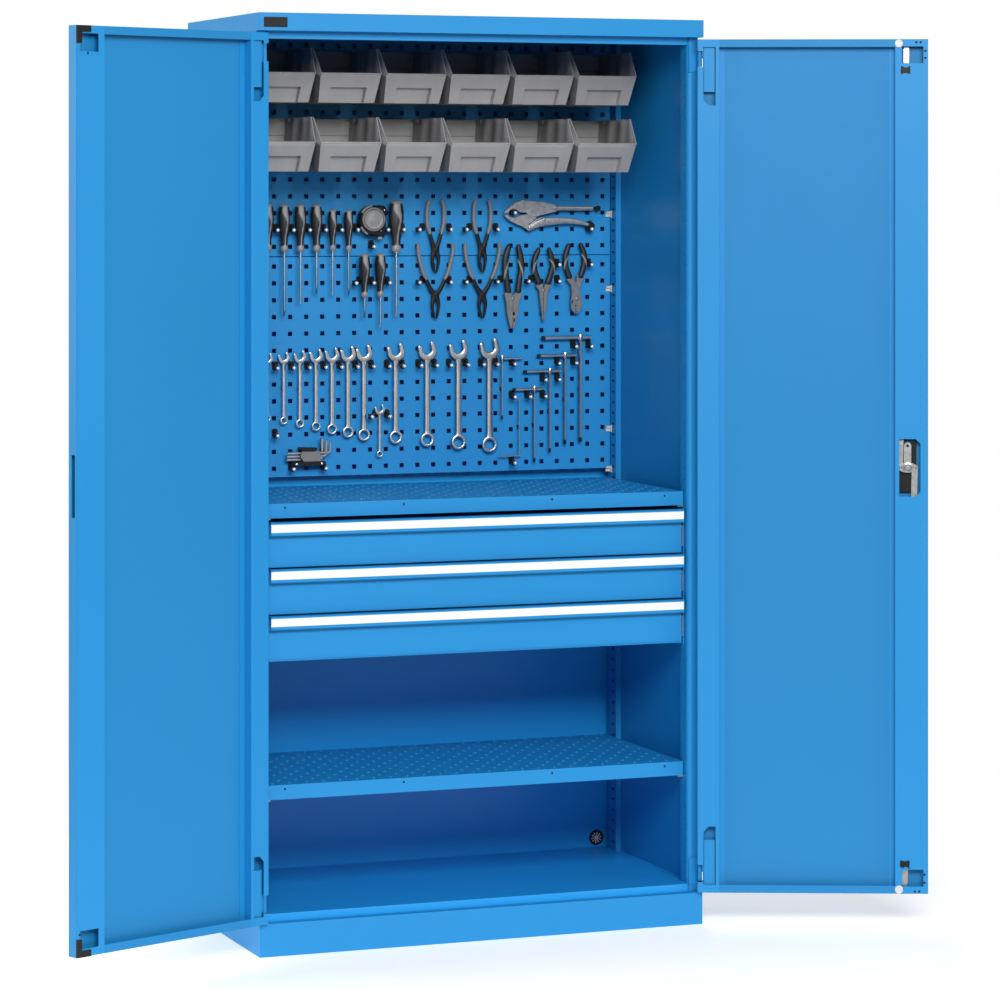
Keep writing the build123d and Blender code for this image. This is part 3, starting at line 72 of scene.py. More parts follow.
PANEL_Y = corner("peg_panel_upper", 0)[1]       # front face of the perforated panels
PAD_T = 10.0                                    # gap between panel and tools
TOOL_Y = PANEL_Y - PAD_T                        # rear plane of the hung tools
PITCH = 38.0                                    # hole to hole on the panels
GRID_X = -323.0                                 # hole column of the leftmost hooks
LOW_ROW = 1451.5                                # top hole row of the lower panel
HIGH_ROW = 1496.1                               # bottom hole row of the upper panel
DOOR_EDGE_X = 510.0                             # hinge edge of the shut right door
DOOR_Y = -253.5                                 # inner face of the shut doors
PIN_X, PIN_Y = 505.0, -271.5                    # hinge pin of the right door
OPEN = math.radians(156.5)                      # both doors at rest
LOCK_U, LOCK_Z = 463.5, 1011.5                  # lock axis, from the hinge edge and up
ROD_PIN_R = 16.0                                # lock axis to each rod's pin


def column(k):
    """Hole column position across the panels."""
    return GRID_X + PITCH * k


def low(r):
    """Hole row height on the lower panel, counted down."""
    return LOW_ROW - PITCH * r


def high(m):
    """Hole row height on the upper panel, counted up."""
    return HIGH_ROW + PITCH * m


def on_door(points, side=1):
    """Door place (u from the hinge edge, v outward, z up) at rest: its shut place turned about the pin."""
    points = np.asarray(points, float)
    x = DOOR_EDGE_X - points[..., 0] - PIN_X
    y = DOOR_Y - points[..., 1] - PIN_Y
    c, s = math.cos(OPEN), math.sin(OPEN)
    return np.stack([side * (PIN_X + c * x - s * y), PIN_Y + s * x + c * y, points[..., 2]], -1)


# ---------------------------------------------------------------- surfaces, in mm
def surface(points, close=(False, True), caps=False):
    """Grid of points as a part: quads between neighbours, wrapped where it closes, with optional end caps."""
    rows, cols = points.shape[:2]
    index = np.arange(rows * cols).reshape(rows, cols)
    below = np.roll(index, -1, 0)
    quads = np.stack([index, np.roll(index, -1, 1), np.roll(below, -1, 1), below], -1)
    quads = quads[: rows if close[0] else rows - 1, : cols if close[1] else cols - 1].reshape(-1, 4)
    faces = [quads]
    if caps:
        faces += [index[:1, ::-1], index[-1:]]
    return points.reshape(-1, 3), faces


def power_round(value, power):
    """Signed power that squares off a circle: 2 keeps it round."""
    return np.sign(value) * np.abs(value) ** (2.0 / power)


def unit(v):
    """Vectors brought to length one along the last axis."""
    v = np.asarray(v, float)
    return v / np.linalg.norm(v, axis=-1, keepdims=True)


def curve(rows, count):
    """Rows (a point with any sizes after it) joined by a smooth curve: cubic spans through every row."""
    p = np.asarray(rows, float)
    p = np.vstack([2 * p[0] - p[1], p, 2 * p[-1] - p[-2]])
    t = np.linspace(0, len(p) - 3, count)
    i = np.minimum(t.astype(int), len(p) - 4)
    f = (t - i)[:, None]
    a, b, c, d = p[i], p[i + 1], p[i + 2], p[i + 3]
    return 0.5 * (2 * b + (c - a) * f + (2 * a - 5 * b + 4 * c - d) * f**2 + (3 * b - 3 * c + d - a) * f**3)


def domed(path, width, depth):
    """Path and half sizes with round ends: each runs on with the sine and shrinks with the cosine."""
    width = np.broadcast_to(np.asarray(width, float), len(path))
    depth = np.broadcast_to(np.asarray(depth, float), len(path))
    t = np.linspace(0, np.pi / 2, 5)[1:]
    runs = []
    for end, inner in ((0, 1), (-1, -2)):
        out = unit(path[end] - path[inner]) * min(width[end], depth[end])
        runs.append((path[end] + np.sin(t)[:, None] * out, width[end] * np.cos(t), depth[end] * np.cos(t)))
    (p0, w0, d0), (p1, w1, d1) = runs
    return (np.vstack([p0[::-1], path, p1]), np.concatenate([w0[::-1], width, w1]),
            np.concatenate([d0[::-1], depth, d1]))


def sweep(path, width, depth, sides=12, power=2.0, facing=(0, -1, 0), round_ends=True):
    """Oval carried along a path: half width across it, half depth along `facing`, squared off by a power."""
    path = np.asarray(path, float)
    if round_ends:
        path, width, depth = domed(path, width, depth)
    width = np.broadcast_to(np.asarray(width, float), len(path))
    depth = np.broadcast_to(np.asarray(depth, float), len(path))
    along = unit(np.gradient(path, axis=0))
    front = np.broadcast_to(unit(facing), path.shape)
    front = unit(front - np.sum(front * along, -1, keepdims=True) * along)
    across = np.cross(along, front)
    turn = np.linspace(0, 2 * np.pi, sides, endpoint=False)
    c = power_round(np.cos(turn), power)
    s = power_round(np.sin(turn), power)
    ring = (path[:, None] + (width[:, None] * c)[..., None] * across[:, None]
            + (depth[:, None] * s)[..., None] * front[:, None])
    return surface(ring, caps=not round_ends)


def turned(profile, centre, axis=(0, -1, 0), sides=16, waves=0, depth=0.0):
    """Surface of revolution: rows of (radius, distance) round an axis; waves of some depth flute it."""
    profile = np.asarray(profile, float)
    axis = unit(axis)
    side = unit(np.cross(axis, (0.0, 0.0, 1.0) if abs(axis[2]) < 0.9 else (0.0, 1.0, 0.0)))
    other = np.cross(axis, side)
    turn = np.linspace(0, 2 * np.pi, sides, endpoint=False)
    radius = profile[:, :1] * (1 - depth * (0.5 - 0.5 * np.cos(waves * turn)))
    ring = (np.asarray(centre, float) + profile[:, 1, None, None] * axis
            + radius[..., None] * (np.cos(turn)[:, None] * side + np.sin(turn)[:, None] * other))
    return surface(ring)


def plate_rows(outline, depths):
    """Copies of an outline in two coordinates, one at each depth between them."""
    outline = np.asarray(outline, float)
    return np.stack([np.column_stack([outline[:, 0], np.full(len(outline), depth), outline[:, 1]])
                     for depth in depths])


def slab(outline, back, front):
    """Flat plate: an outline in x and z between two depths."""
    return surface(plate_rows(outline, (back, front)), caps=True)


def door_slab(outline, v0, v1):
    """Flat plate on the right door: an outline in (u, z) between two depths."""
    return surface(on_door(plate_rows(outline, (v0, v1))), caps=True)


def rounded_box(width, height, radius, steps=4):
    """Outline of a rectangle with round corners, about the origin."""
    t = np.linspace(0, np.pi / 2, steps + 1)
    corners = [(1, 1, 0), (-1, 1, 1), (-1, -1, 2), (1, -1, 3)]
    arcs = [np.column_stack([sx * (width / 2 - radius) + radius * np.cos(t + q * np.pi / 2),
                             sz * (height / 2 - radius) + radius * np.sin(t + q * np.pi / 2)])
            for sx, sz, q in corners]
    return np.vstack(arcs)


def ball(centre, radius):
    """Sphere: a half circle turned about the upright axis."""
    t = np.linspace(0, np.pi, 9)
    return turned(np.column_stack([radius * np.sin(t), -radius * np.cos(t)]), centre, (0, 0, 1))


def head(centre, radius, height=1.6):
    """Pan head of a screw or rivet, sunk a little: a quarter ellipse turned about its axis."""
    t = np.linspace(0, np.pi / 2, 5)
    rows = np.column_stack([radius * np.cos(t), height * np.sin(t)])
    return turned(np.vstack([[0, -0.6], [radius, -0.6], rows]), centre)


def build(name, parts, finish, body, stands_for=(), sharp=38.0, bevel=0.0, weld=True, tone=None):
    """Object from parts in millimetres: welded, turned outward, given its finish and set on its body."""
    starts = np.cumsum([0] + [len(points) for points, _ in parts])
    points = np.vstack([points for points, _ in parts]) * MM
    faces = [face for (_, grids), start in zip(parts, starts)
             for grid in grids for face in (grid + start).tolist()]
    mesh = bpy.data.meshes.new(name)
    mesh.from_pydata(points.tolist(), [], faces)
    if tone is not None:
        mesh.attributes.new("tone", "FLOAT", "POINT").data.foreach_set("value", np.asarray(tone, np.float32))
    work = bmesh.new()
    work.from_mesh(mesh)
    if weld:
        bmesh.ops.remove_doubles(work, verts=work.verts, dist=2e-6)
    bmesh.ops.recalc_face_normals(work, faces=work.faces)
    work.to_mesh(mesh)
    work.free()
    mesh.shade_smooth()
    mesh.set_sharp_from_angle(angle=math.radians(sharp))
    mesh.materials.append(finish)
    piece = bpy.data.objects.new(name, mesh)
    bpy.context.scene.collection.objects.link(piece)
    if bevel:
        soften = piece.modifiers.new("edges", "BEVEL")
        soften.width = bevel * MM
        soften.segments = 2
        soften.limit_method = "ANGLE"
        soften.angle_limit = math.radians(35)
    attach(piece, body)
    if stands_for:
        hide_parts(*stands_for)
    return piece


# ---------------------------------------------------------------- shader maths
class Value:
    """A shader socket used in sums and products; each one adds its Math node."""

    def __init__(self, graph, socket):
        self.graph = graph
        self.socket = socket

    def _math(self, operation, first, second):
        return self.graph.node("ShaderNodeMath", {"operation": operation}, {0: first, 1: second})

    def __add__(self, other):
        return self._math("ADD", self, other)

    __radd__ = __add__

    def __sub__(self, other):
        return self._math("SUBTRACT", self, other)

    def __rsub__(self, other):
        return self._math("SUBTRACT", other, self)

    def __mul__(self, other):
        return self._math("MULTIPLY", self, other)

    __rmul__ = __mul__


class Graph:
    """Node tree of one finish."""

    def __init__(self, name, **constants):
        self.material = bpy.data.materials.new(name)
        self.material.use_nodes = True
        self.tree = self.material.node_tree
        self.shader = self.tree.nodes["Principled BSDF"]
        for key, value in constants.items():
            self.shader.inputs[key.replace("_", " ")].default_value = value

    def feed(self, socket, value):
        """Links a value to a socket, or sets it where it is a number or colour."""
        if isinstance(value, Value):
            self.tree.links.new(value.socket, socket)
        else:
            socket.default_value = value

    def node(self, kind, settings=None, inputs=None, output=0):
        """Any node: its settings first, then the values or links of its sockets."""
        made = self.tree.nodes.new(kind)
        for key, value in (settings or {}).items():
            setattr(made, key, value)
        for key, value in (inputs or {}).items():
            self.feed(made.inputs[key], value)
        return Value(self, made.outputs[output])

    def place(self, stretch=(1.0, 1.0, 1.0)):
        """Object coordinates, stretched on each axis."""
        base = self.node("ShaderNodeTexCoord", output="Object")
        return self.node("ShaderNodeMapping", inputs={"Vector": base, "Scale": stretch})

    def noise(self, vector, scale, detail=2.0):
        """Soft noise between 0 and 1."""
        return self.node("ShaderNodeTexNoise", inputs={"Vector": vector, "Scale": scale, "Detail": detail})

    def band(self, value, low_end, high_end, low_value=0.0, high_value=1.0):
        """Value mapped from one range to another, held at both ends."""
        inputs = {0: value, 1: low_end, 2: high_end, 3: low_value, 4: high_value}
        return self.node("ShaderNodeMapRange", {"clamp": True}, inputs)

    def mix(self, factor, first, second):
        """Blend of two colours."""
        return self.node("ShaderNodeMix", {"data_type": "RGBA"}, {0: factor, 6: first, 7: second}, 2)

    def bump(self, height, distance):
        """Relief on the surface from a height."""
        relief = self.node("ShaderNodeBump", inputs={"Strength": 1.0, "Distance": distance, "Height": height})
        self.feed(self.shader.inputs["Normal"], relief)

    def out(self, **sockets):
        """Feeds the shader's varying sockets."""
        for key, value in sockets.items():
            self.feed(self.shader.inputs[key.replace("_", " ")], value)
        return self.material


def shade(color, factor):
    """Colour made darker or lighter, with full alpha."""
    return tuple(min(1.0, c * factor) for c in color[:3]) + (1.0,)


def coated_finish(name, color, rough, peel=0.00003):
    """Powder coat: a broad tone drift, a fine orange-peel relief and an uneven gloss."""
    g = Graph(name, Coat_Roughness=0.22, Specular_IOR_Level=0.3)
    place = g.place()
    drift = g.noise(place, 1.7, 3.0)
    fine = g.noise(place, 420.0, 1.0)
    speck = g.noise(place, 1900.0, 1.0)
    g.bump(fine + 0.3 * speck, peel)
    tone = g.mix(drift, shade(color, 0.965), shade(color, 1.03))
    return g.out(Base_Color=g.mix(g.band(speck, 0.62, 0.8, 0.0, 0.12), tone, shade(color, 0.8)),
                 Roughness=rough + 0.1 * g.noise(place, 9.0, 4.0), Coat_Weight=0.05 + 0.03 * drift)


def moulded_finish(name, color, rough, grain=1300.0, relief=0.00004, sheen=0.5):
    """Moulded plastic: a fine spark-eroded grain, faint flow marks and a soft sheen."""
    g = Graph(name, Specular_IOR_Level=sheen)
    place = g.place()
    fine = g.noise(place, grain, 2.0)
    flow = g.noise(g.place((6.0, 6.0, 1.2)), 4.0, 3.0)
    g.bump(fine, relief)
    return g.out(Base_Color=g.mix(flow, shade(color, 0.86), shade(color, 1.12)),
                 Roughness=rough + 0.12 * fine - 0.06 * flow)


def two_tone_finish(name, dark, light, rough):
    """Grip in two colours split by the piece's own tone attribute, with a fine grain."""
    g = Graph(name)
    place = g.place()
    fine = g.noise(place, 1500.0, 2.0)
    tone = g.node("ShaderNodeAttribute", {"attribute_name": "tone"}, output="Fac")
    g.bump(fine, 0.00004)
    return g.out(Base_Color=g.mix(tone, shade(dark, 1.0), shade(light, 1.0)),
                 Roughness=rough + 0.1 * fine - 0.08 * tone)


def plated_finish(name, color, rough, metallic):
    """Zinc plate: cloudy spangle in tone and gloss over a fine rolled grain."""
    g = Graph(name, Metallic=metallic)
    place = g.place()
    cloud = g.node("ShaderNodeTexVoronoi", {"feature": "F1"}, {"Vector": place, "Scale": 160.0}, "Color")
    grey = g.node("ShaderNodeRGBToBW", inputs={"Color": cloud})
    grain = g.noise(g.place((1.0, 1.0, 0.03)), 900.0, 2.0)
    g.bump(grain, 0.00002)
    return g.out(Base_Color=g.mix(grey, shade(color, 0.88), shade(color, 1.1)),
                 Roughness=rough + 0.12 * grey + 0.08 * grain)


def brushed_finish(name, color, rough):
    """Satin chrome: long brushed lines along the tool, small pits and polished high spots."""
    g = Graph(name, Metallic=1.0)
    lines = g.noise(g.place((1.0, 1.0, 0.05)), 1400.0, 3.0)
    pits = g.noise(g.place(), 500.0, 2.0)
    g.bump(lines + 0.5 * pits, 0.00003)
    return g.out(Base_Color=g.mix(g.band(pits, 0.35, 0.7), shade(color, 0.85), shade(color, 1.08)),
                 Roughness=rough + 0.15 * lines)


def chrome_finish(name, color, rough, metallic):
    """Polished chrome with faint handling smears."""
    g = Graph(name, Metallic=metallic)
    smear = g.noise(g.place(), 120.0, 3.0)
    return g.out(Base_Color=g.mix(smear, shade(color, 0.94), shade(color, 1.0)),
                 Roughness=rough + 0.1 * smear)


def ribbed_finish(name, color, rough, pitch):
    """Black moulding with fine ribs one above another, the colour lighter on the crests and darker in the
    grooves: painted light and shade.
    """
    g = Graph(name, Specular_IOR_Level=0.25)
    place = g.place()
    ribs = g.node("ShaderNodeTexWave", {"bands_direction": "Z"},
                  {"Vector": place, "Scale": 1000.0 / pitch / 3.1416 / 2.0, "Distortion": 0.0})
    fine = g.noise(place, 1200.0, 2.0)
    g.bump(ribs + 0.2 * fine, 0.0004)
    # crests lighter, grooves darker: painted light and shade following the rib relief
    return g.out(Base_Color=g.mix(ribs, shade(color, 0.6), shade(color, 1.5)),
                 Roughness=rough + 0.1 * fine)


def strip_finish(name, color):
    """Label strip: bright card with a faint fibre under a clear cover."""
    g = Graph(name, Coat_Roughness=0.06)
    fibre = g.noise(g.place((1.0, 1.0, 14.0)), 90.0, 4.0)
    return g.out(Base_Color=g.mix(fibre, shade(color, 0.965), shade(color, 1.0)),
                 Roughness=0.42 + 0.1 * fibre, Coat_Weight=0.5 + 0.1 * fibre)


def floor_finish(name, color, clear_from, clear_to, glow):
    """Pale floor that clears into the backdrop: opaque near the middle and clear past a given radius."""
    g = Graph(name, Roughness=0.6, Emission_Strength=glow)
    base = g.node("ShaderNodeTexCoord", output="Object")
    far = g.node("ShaderNodeVectorMath", {"operation": "LENGTH"}, {0: base}, "Value")
    tone = g.noise(base, 3.0, 4.0)
    fade = g.band(far, clear_from, clear_to)
    pale = g.mix(tone, shade(color, 0.985), shade(color, 1.0))
    plain = g.out(Base_Color=pale, Emission_Color=pale)
    clear = g.tree.nodes.new("ShaderNodeBsdfTransparent")
    blend = g.tree.nodes.new("ShaderNodeMixShader")
    g.feed(blend.inputs[0], fade)
    g.tree.links.new(g.shader.outputs[0], blend.inputs[1])
    g.tree.links.new(clear.outputs[0], blend.inputs[2])
    g.tree.links.new(blend.outputs[0], g.tree.nodes["Material Output"].inputs[0])
    return plain


# ---------------------------------------------------------------- sizes and colours
class CabinetPaint(PropertyGroup):
    """Colours and gloss of the finishes."""
    blue: FloatVectorProperty(name="Cabinet Blue", description="Powder coat colour", subtype="COLOR",
                              default=(0.011, 0.240, 0.560), min=0.0, max=1.0)
    blue_rough: FloatProperty(name="Coat Roughness", description="Mean roughness of the powder coat",
                              default=0.46, min=0.0, max=1.0, subtype="FACTOR")
    pan_rough: FloatProperty(name="Pan Roughness", description="Mean roughness of the floor and side panels",
                             default=0.26, min=0.0, max=1.0, subtype="FACTOR")
    bin_grey: FloatVectorProperty(name="Bin Grey", description="Storage bin colour", subtype="COLOR",
                                  default=(0.285, 0.278, 0.28), min=0.0, max=1.0)
    black: FloatVectorProperty(name="Black", description="Black mouldings and coated steel", subtype="COLOR",
                               default=(0.011, 0.011, 0.012), min=0.0, max=1.0)
    grip_grey: FloatVectorProperty(name="Grip Grey", description="Grey parts of the grips", subtype="COLOR",
                                   default=(0.185, 0.18, 0.178), min=0.0, max=1.0)
    steel: FloatVectorProperty(name="Tool Steel", description="Satin chrome of the tools", subtype="COLOR",
                               default=(0.62, 0.62, 0.62), min=0.0, max=1.0)
    zinc: FloatVectorProperty(name="Zinc", description="Zinc plated steel", subtype="COLOR",
                              default=(0.36, 0.365, 0.36), min=0.0, max=1.0)
    white: FloatVectorProperty(name="White", description="Label strips and bumpers", subtype="COLOR",
                               default=(0.9, 0.915, 0.93), min=0.0, max=1.0)
    clip: FloatVectorProperty(name="Clip Grey", description="Panel clips", subtype="COLOR",
                              default=(0.62, 0.6, 0.55), min=0.0, max=1.0)


class CabinetPieces(PropertyGroup):
    """Sizes of the fitted pieces."""
    bump_pitch: FloatProperty(name="Bump Pitch", description="Spacing of the shelf bumps along the shelf, mm",
                              default=38.0, min=10.0, max=60.0)
    bump_height: FloatProperty(name="Bump Height", description="Height of a shelf bump, mm",
                               default=2.8, min=0.2, max=4.0)
    bin_wall: FloatProperty(name="Bin Wall", description="Wall thickness of a bin, mm",
                            default=2.4, min=1.0, max=5.0)
    pocket: FloatProperty(name="Label Pocket", description="Depth of a bin's label pocket, mm",
                          default=11.0, min=0.0, max=12.0)
    wrench_sides: IntProperty(name="Wrench Section Points", description="Points round a wrench's section",
                              default=16, min=8, max=48)


class CabinetStage(PropertyGroup):
    """Camera, light and floor."""
    key: FloatProperty(name="Key Light", description="Power of the large front light", default=395.0, min=0.0,
                       unit="POWER")
    fill: FloatProperty(name="Fill Light", description="Power of the right side light", default=32.0, min=0.0,
                        unit="POWER")
    left: FloatProperty(name="Left Light", description="Power of the left side light", default=170.0, min=0.0,
                        unit="POWER")
    rear: FloatProperty(name="Rear Light", description="Power of the light behind", default=150.0, min=0.0,
                        unit="POWER")
    ambient: FloatProperty(name="Room Light", description="Strength of the even light from all round",
                           default=0.28, min=0.0)
    lens: FloatProperty(name="Lens", description="Focal length of the camera", default=137.886, min=10.0,
                        unit="CAMERA")


FINISH = {}


def make_finishes(paint):
    """Every finish of the cabinet, under the name of its material slot."""
    FINISH.update(
        blue_paint=coated_finish("blue_paint", paint.blue, paint.blue_rough),
        # doors: the cabinet blue made darker, painted shade for the less light on their inner faces
        blue_door=coated_finish("blue_door", shade(paint.blue, 0.86), paint.blue_rough + 0.06),
        blue_pan=coated_finish("blue_pan", paint.blue, paint.pan_rough, 0.000012),
        # floor and back panels: the cabinet blue made lighter, painted light in the dim inside of the cabinet
        blue_back=coated_finish("blue_back", shade(paint.blue, 1.35), paint.pan_rough, 0.000012),
        zinc_steel=plated_finish("zinc_steel", paint.zinc, 0.3, 0.8),
        clip_grey=moulded_finish("clip_grey", paint.clip, 0.5),
        strip_white=strip_finish("strip_white", shade(paint.white, 0.9)),
        black_steel=moulded_finish("black_steel", paint.black, 0.38, 1600.0, 0.00002, 0.3),
        black_plastic=moulded_finish("black_plastic", paint.black, 0.42, sheen=0.2),
        black_ribbed=ribbed_finish("black_ribbed", paint.black, 0.5, 3.0),
        bumper_white=moulded_finish("bumper_white", shade(paint.white, 0.72), 0.45),
        bin_grey=moulded_finish("bin_grey", paint.bin_grey, 0.46, 900.0, 0.00005),
        tool_steel=brushed_finish("tool_steel", paint.steel, 0.24),
        bright_steel=brushed_finish("bright_steel", shade(paint.steel, 1.25), 0.14),
        pale_steel=plated_finish("pale_steel", shade(paint.steel, 0.62), 0.26, 0.7),
        plier_steel=plated_finish("plier_steel", shade(paint.steel, 0.36), 0.36, 0.6),
        grip_grey=moulded_finish("grip_grey", paint.grip_grey, 0.48),
        driver_grip=two_tone_finish("driver_grip", paint.black, shade(paint.grip_grey, 1.3), 0.42),
        plier_grip=two_tone_finish("plier_grip", paint.black, shade(paint.grip_grey, 1.8), 0.45),
        ball_chrome=chrome_finish("ball_chrome", (0.9, 0.9, 0.91), 0.2, 0.55),
        # near black that stands for the shade inside holes and slots: painted shade
        black_hole=moulded_finish("black_hole", shade(paint.black, 0.25), 0.8),
    )


def paint_nodes():
    """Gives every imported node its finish, by its slot in the record."""
    # the doors take a darker copy of the blue as painted shade, the floor and back panels a lighter copy as
    # painted light
    special = dict(floor_panel="blue_back", back_panel="blue_back", side_panel_right="blue_pan",
                   side_panel_left="blue_pan", corner_blocks="black_ribbed", door_shell_right="blue_door",
                   door_shell_left="blue_door", hinge_leaves="blue_paint", hinge_blocks_right="blue_paint",
                   hinge_blocks_left="blue_paint")
    for row in frame["record"]["subparts"]:
        node = row["node"]
        finish = FINISH[special.get(node, row["material_slot"])]
        mesh = NODES[node].data
        mesh.materials.clear()
        mesh.materials.append(finish)


# ---------------------------------------------------------------- shelves
BUMP_R, BUMP_SIDES = 5.2, 10
BUMP_START, BUMP_END_X, BUMP_END_Y = 22.0, 18.0, 16.0       # margins of the grid before its rows step aside
BUMP_EDGE = 14.0                                            # no bump stands nearer to the shelf's right end
SHELF_HOLE_R = 2.45
SHELF_HOLE_END, SHELF_HOLE_X, SHELF_HOLE_DROP = 44.0, 171.5, 9.0    # from the end, the middle and the top


def make_bumps(name, node, pitch, height):
    """Anti-slip bumps: a low lens on each point of a grid whose rows step a third of the pitch sideways."""
    low_end, high_end = corner(node, 0), corner(node, 1)
    turn = np.linspace(0, 2 * np.pi, BUMP_SIDES, endpoint=False)
    ring = np.array([[1.0, -0.05], [0.8, 0.36], [0.42, 0.82]])
    lens = np.stack([ring[:, :1] * BUMP_R * np.cos(turn), ring[:, :1] * BUMP_R * np.sin(turn),
                     np.repeat(ring[:, 1:] * height, BUMP_SIDES, 1)], -1)
    count = len(ring) * BUMP_SIDES
    index = np.arange(count).reshape(len(ring), BUMP_SIDES)
    beside = np.roll(index, -1, 1)
    quads = np.stack([index[:-1], beside[:-1], beside[1:], index[1:]], -1).reshape(-1, 4)
    xs = np.arange(low_end[0] + BUMP_START, high_end[0] - BUMP_END_X, pitch)
    ys = np.arange(low_end[1] + BUMP_START, high_end[1] - BUMP_END_Y, pitch)
    gx, gy = np.meshgrid(xs, ys)
    gx = gx + (-np.arange(len(ys)) % 3)[:, None] * pitch / 3
    keep = gx.ravel() < high_end[0] - BUMP_EDGE
    centres = np.column_stack([gx.ravel(), gy.ravel(), np.full(gx.size, high_end[2])])[keep]
    points = (centres[:, None] + lens.reshape(1, -1, 3)).reshape(-1, 3)
    starts = np.arange(len(centres)) * count
    faces = [(quads + starts[:, None, None]).reshape(-1, 4), index[-1] + starts[:, None]]
    build(name, [(points, faces)], FINISH["blue_paint"], "carcass", sharp=80, weld=False)


def make_shelf_holes():
    """Painted shade: dark cups at the bottoms of the four round holes in each shelf's front flange."""
    profile = [(0.0, -1.6), (SHELF_HOLE_R, -1.6), (SHELF_HOLE_R, 0.0), (0.0, 0.0)]
    cups = []
    for node in ("shelf_upper", "shelf_lower"):
        front, reach, top = corner(node, 0)[1], corner(node, 1)[0], corner(node, 1)[2]
        outer = reach - SHELF_HOLE_END
        for x in (-outer, -SHELF_HOLE_X, SHELF_HOLE_X, outer):
            cups.append(turned(profile, (x, front + 0.3, top - SHELF_HOLE_DROP)))
    build("shelf_hole_cups", cups, FINISH["black_hole"], "carcass")


def make_panel_lips():
    """Folded lips that close the joint between the two panels to a fine line."""
    low_top, high_foot = corner("peg_panel_lower", 1)[2], corner("peg_panel_upper", 0)[2]
    reach = corner("peg_panel_lower", 1)[0]
    middle = (low_top + high_foot) / 2
    lips = []
    for near, far in ((low_top - 0.5, middle - 0.5), (high_foot + 0.5, middle + 0.5)):
        bend_from, bend_to = near * 0.3 + far * 0.7, near * 0.1 + far * 0.9
        profile = np.array([(PANEL_Y + 8, near), (PANEL_Y + 0.02, near), (PANEL_Y + 0.02, bend_from),
                            (PANEL_Y + 0.7, bend_to), (PANEL_Y + 2.0, far), (PANEL_Y + 8, far)])
        ends = [np.column_stack([np.full(len(profile), x), profile]) for x in (-reach, reach)]
        lips.append(surface(np.stack(ends), caps=True))
    build("panel_lips", lips, FINISH["blue_paint"], "carcass")


# ---------------------------------------------------------------- bins
BIN_RIM_Z, BIN_LIP_Z, BIN_FOOT_Z = 1937.5, 1881.5, 1817.0
BIN_LIP_Y, BIN_FOOT_Y, BIN_BREAK_Y, BIN_REAR_Y = -36.0, 0.0, 10.0, 199.5
BIN_FOOT_X, BIN_RIM_X = 64.5, 75.0
BIN_COUNT, BIN_PITCH, BIN_ROW = 6, 152.0, 152.0         # bins in a row, bin to bin across, row to row down
POCKET_ACROSS, POCKET_UP, POCKET_SOFT = 0.6, 0.5, 0.022     # label pocket and its edge, shares of the front
FRONT_IN, FRONT_RISE = 0.873, 0.487                     # way into the leaning front, back and up


def half_width(z):
    """Half width of a bin at a height: it widens evenly from foot to rim."""
    return BIN_FOOT_X + (BIN_RIM_X - BIN_FOOT_X) * (z - BIN_FOOT_Z) / (BIN_RIM_Z - BIN_FOOT_Z)


def step(value, at, over):
    """Rises from 0 to 1 round a place, as a soft step."""
    t = np.clip((value - at) / over + 0.5, 0, 1)
    return t * t * (3 - 2 * t)


def bin_sheet(pocket):
    """One bin as an open box of five grids that share their edges; the front sinks into the label pocket."""
    edge = np.array([-POCKET_SOFT, 0, POCKET_SOFT])
    a = np.unique(np.concatenate([np.linspace(-1, 1, 9), -(POCKET_ACROSS + edge), POCKET_ACROSS + edge]))
    h = np.unique(np.concatenate([np.linspace(0, 1, 7), POCKET_UP + edge]))
    z_front = BIN_FOOT_Z + h * (BIN_LIP_Z - BIN_FOOT_Z)
    y_front = BIN_FOOT_Y + h * (BIN_LIP_Y - BIN_FOOT_Y)
    rise = np.linspace(0, 1, 5)[1:]
    z_all = np.concatenate([z_front, BIN_LIP_Z + rise * (BIN_RIM_Z - BIN_LIP_Z)])
    y_all = np.concatenate([y_front, BIN_LIP_Y + rise * (BIN_BREAK_Y - BIN_LIP_Y)])
    depth = np.array([14.0, 40, 43, 72, 75, 112, 115, 144, 147, BIN_REAR_Y])
    sink = (pocket * step(POCKET_ACROSS - np.abs(a)[None], 0, 2 * POCKET_SOFT)
            * step(POCKET_UP - h[:, None], 0, 2 * POCKET_SOFT))
    front = np.stack([a[None] * half_width(z_front)[:, None], y_front[:, None] + FRONT_IN * sink,
                      z_front[:, None] + FRONT_RISE * sink * (h[:, None] > 0)], -1)
    flute = 1.5 * (step(depth, 41.5, 1.0) - step(depth, 73.5, 1.0)
                   + step(depth, 113.5, 1.0) - step(depth, 145.5, 1.0))
    fade = step(z_all, BIN_FOOT_Z + 6, 4)[:, None] * np.concatenate([[0.0], flute])[None]
    y_side = np.column_stack([y_all, np.broadcast_to(depth, (len(z_all), len(depth)))])
    z_side = np.broadcast_to(z_all[:, None], y_side.shape)
    sides = [np.stack([s * (half_width(z_side) - fade), y_side, z_side], -1) for s in (-1, 1)]
    y_floor = np.concatenate([front[:1, :, 1], np.repeat(depth[:, None], len(a), 1)])
    floor = np.stack([np.broadcast_to(a * BIN_FOOT_X, y_floor.shape), y_floor,
                      np.full(y_floor.shape, BIN_FOOT_Z)], -1)
    rear = np.stack([a[None] * half_width(z_all)[:, None], np.full((len(z_all), len(a)), BIN_REAR_Y),
                     np.repeat(z_all[:, None], len(a), 1)], -1)
    return [surface(g, (False, False)) for g in (front, *sides, floor, rear)]


def moved(parts, offset):
    """The same parts shifted."""
    return [(points + np.asarray(offset, float), faces) for points, faces in parts]


